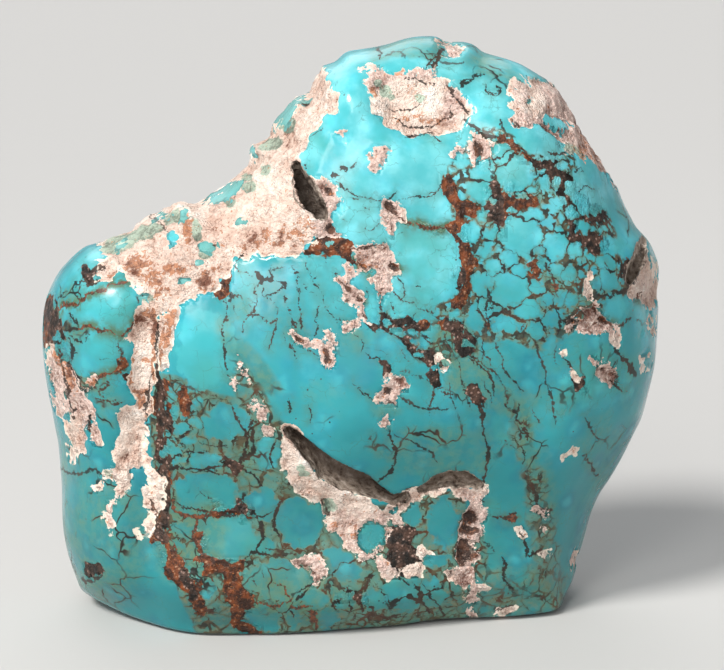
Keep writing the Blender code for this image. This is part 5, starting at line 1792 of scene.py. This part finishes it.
stain = ramp(add(a_stain, add(mul(centred(n_small), 3.0), mul(centred(n_tiny), 2.6))), 0.42, 0.80)
pink_col = mix(mul(stain, 0.85), pink_col, mix(ramp(tone_with_relief_shade, -0.7, 0.7), (0.130, 0.032, 0.012), (0.560, 0.210, 0.085)))
rust_col = mix(ramp(n_small, 0.40, 0.66), (0.035, 0.013, 0.007), (0.210, 0.056, 0.016))
rust_col = mix(mul(ramp(n_tiny, 0.60, 0.72), 0.8), rust_col, (0.420, 0.150, 0.045))
dark_col = mix(ramp(n_small, 0.40, 0.66), (0.010, 0.007, 0.005), (0.085, 0.044, 0.030))
speck = ramp(cells(1.3, warped(1.0, 0.8), "F1").outputs["Distance"], 0.34, 0.20)
speck = mul(speck, ramp(n_small, 0.42, 0.60))
dark_col = mix(mul(speck, 0.75), dark_col, (0.420, 0.270, 0.220))
rust_col = mix(mul(speck, 0.55), rust_col, (0.500, 0.300, 0.180))
seam_col = mix(ramp(n_mid, 0.46, 0.62), (0.011, 0.008, 0.006), (0.050, 0.022, 0.012))
seam_col = mix(rusty, seam_col, mix(ramp(n_tiny, 0.42, 0.62), (0.050, 0.018, 0.010), (0.190, 0.052, 0.018)))
rim_col = (0.800, 0.710, 0.590)

m_lines = op("MAXIMUM", op("MAXIMUM", veins, nodule_seam), network)
gap_col = mix(ramp(n_small, 0.38, 0.62), (0.018, 0.013, 0.009), (0.085, 0.070, 0.038))
gap_col = mix(ramp(noise(7.0, 3), 0.54, 0.62), gap_col, (0.075, 0.026, 0.010))
colour = mix(mul(cob_dark, 0.92), colour, gap_col)
colour = mix(mul(m_lines, 0.95), colour, seam_col)
colour = mix(m_rust, colour, rust_col)
colour = mix(m_dark, colour, dark_col)
colour = mix(m_pink, colour, pink_col)
colour = mix(mul(mul(veins, m_pink), 0.90), colour, seam_col)
cream = mul(mul(ramp(pink_in, -0.30, -0.02), ramp(pink_in, 0.75, 0.15)), clear)
cream = mul(cream, sub(1.0, mul(a_mauve, 0.70)))
colour = mix(mul(cream, ramp(n_small, 0.40, 0.60)), colour, rim_col)
crev_n = noise(2.2, 5, 0.65, where=warped(3, 2))
crev_col = mix(ramp(crev_n, 0.34, 0.52), (0.120, 0.085, 0.065), (0.360, 0.290, 0.235))
crev_col = mix(ramp(crev_n, 0.52, 0.68), crev_col, (0.660, 0.570, 0.490))
# Painted shade: the crevice walls darken with depth inside the crevice.
crev_col = mix(mul(ramp(a_crevice_shade, 0.55, 1.1), 0.75), crev_col, (0.060, 0.040, 0.030))
m_crev = ramp(add(a_crev, mul(centred(n_tiny), 0.3)), 0.45, 0.75)
colour = mix(m_crev, colour, crev_col)
links.new(colour, shader.inputs["Base Color"])

m_matrix = op("MAXIMUM", m_pink, m_crev)
m_fill = op("MAXIMUM", m_rust, m_dark)
gloss = ramp(n_mid, 0.3, 0.7, 0.15, 0.26)
r = add(gloss, mul(m_lines, 0.20))
r = op("MAXIMUM", r, mul(m_fill, 0.46))
r = op("MAXIMUM", r, mul(m_matrix, 0.88))
links.new(r, shader.inputs["Roughness"])
shader.inputs["Metallic"].default_value = 0.0
shader.inputs["IOR"].default_value = 1.5
shader.inputs["Specular IOR Level"].default_value = 0.34

b_small = noise(2.0, 4, 0.65)
b_tiny = noise(0.6, 2, 0.6)
h_matrix = add(mul(b_small, 1.0), mul(b_tiny, 0.40))
height = mul(h_matrix, op("MAXIMUM", a_rough, mul(a_fill, 0.35)))
height = add(height, mul(noise(7, 1), 0.12))
bump = nodes.new("ShaderNodeBump")
bump.inputs["Strength"].default_value = 1.0
bump.inputs["Distance"].default_value = 0.0026
links.new(height, bump.inputs["Height"])
links.new(bump.outputs["Normal"], shader.inputs["Normal"])

stone_obj.data.materials.append(mat)
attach(stone_obj, "root")
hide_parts(NODE)

# ======================================================== floor and lights
bpy.ops.mesh.primitive_plane_add(size=24.0, location=(0, 0, 0))
floor = bpy.context.object
floor.name = "floor"
fmat = bpy.data.materials.new("floor_pale")
fmat.use_nodes = True
fs = fmat.node_tree.nodes["Principled BSDF"]
fs.inputs["Base Color"].default_value = (0.52, 0.515, 0.505, 1.0)
fs.inputs["Roughness"].default_value = 0.85
floor.data.materials.append(fmat)


def area(name, where, target, size, power, colour=(1, 1, 1)):
    data = bpy.data.lights.new(name, "AREA")
    data.shape = "RECTANGLE"
    data.size, data.size_y = size
    data.energy = power
    data.color = colour
    obj = bpy.data.objects.new(name, data)
    obj.location = where
    direction = Vector(target) - Vector(where)
    obj.rotation_euler = direction.to_track_quat("-Z", "Y").to_euler()
    bpy.context.scene.collection.objects.link(obj)
    return obj


sun_data = bpy.data.lights.new("key", "SUN")
sun_data.energy = 3.3
sun_data.angle = 0.26
sun_data.color = (1.0, 0.98, 0.95)
sun = bpy.data.objects.new("key", sun_data)
sun.location = (-0.5, -0.7, 1.0)
sun.rotation_euler = Vector((0.56, 0.56, -0.88)).to_track_quat("-Z", "Y").to_euler()
bpy.context.scene.collection.objects.link(sun)
area("box", (-0.30, -0.85, 0.62), (0, 0, 0.10), (0.26, 0.60), 4.2, (1.0, 0.98, 0.95))


def soft_sun(name, towards, power, angle, colour):
    data = bpy.data.lights.new(name, "SUN")
    data.energy, data.angle, data.color = power, angle, colour
    obj = bpy.data.objects.new(name, data)
    obj.rotation_euler = Vector(towards).to_track_quat("-Z", "Y").to_euler()
    bpy.context.scene.collection.objects.link(obj)


soft_sun("front", (-0.15, 0.95, -0.22), 0.50, 0.7, (1.0, 0.99, 0.97))
soft_sun("back", (0.15, -0.80, -0.75), 0.80, 0.9, (1.0, 1.0, 1.0))

world = bpy.data.worlds.new("studio")
world.use_nodes = True
world.node_tree.nodes["Background"].inputs["Color"].default_value = (0.80, 0.82, 0.85, 1.0)
world.node_tree.nodes["Background"].inputs["Strength"].default_value = 0.40
bpy.context.scene.world = world
bpy.context.scene.view_settings.view_transform = "Standard"

cam_data = bpy.data.cameras.new("camera")
cam_data.sensor_width = 36.0
cam_data.lens = FOCAL * 36.0 / 724.0
cam_data.clip_start = 0.01
cam = bpy.data.objects.new("camera", cam_data)
cam.location = Vector(((EYE - centre) * MM).tolist())
fwd = Vector(FORWARD.tolist())
cam.rotation_euler = fwd.to_track_quat("-Z", "Y").to_euler()
bpy.context.scene.collection.objects.link(cam)
bpy.context.scene.camera = cam

bpy.context.view_layer.update()
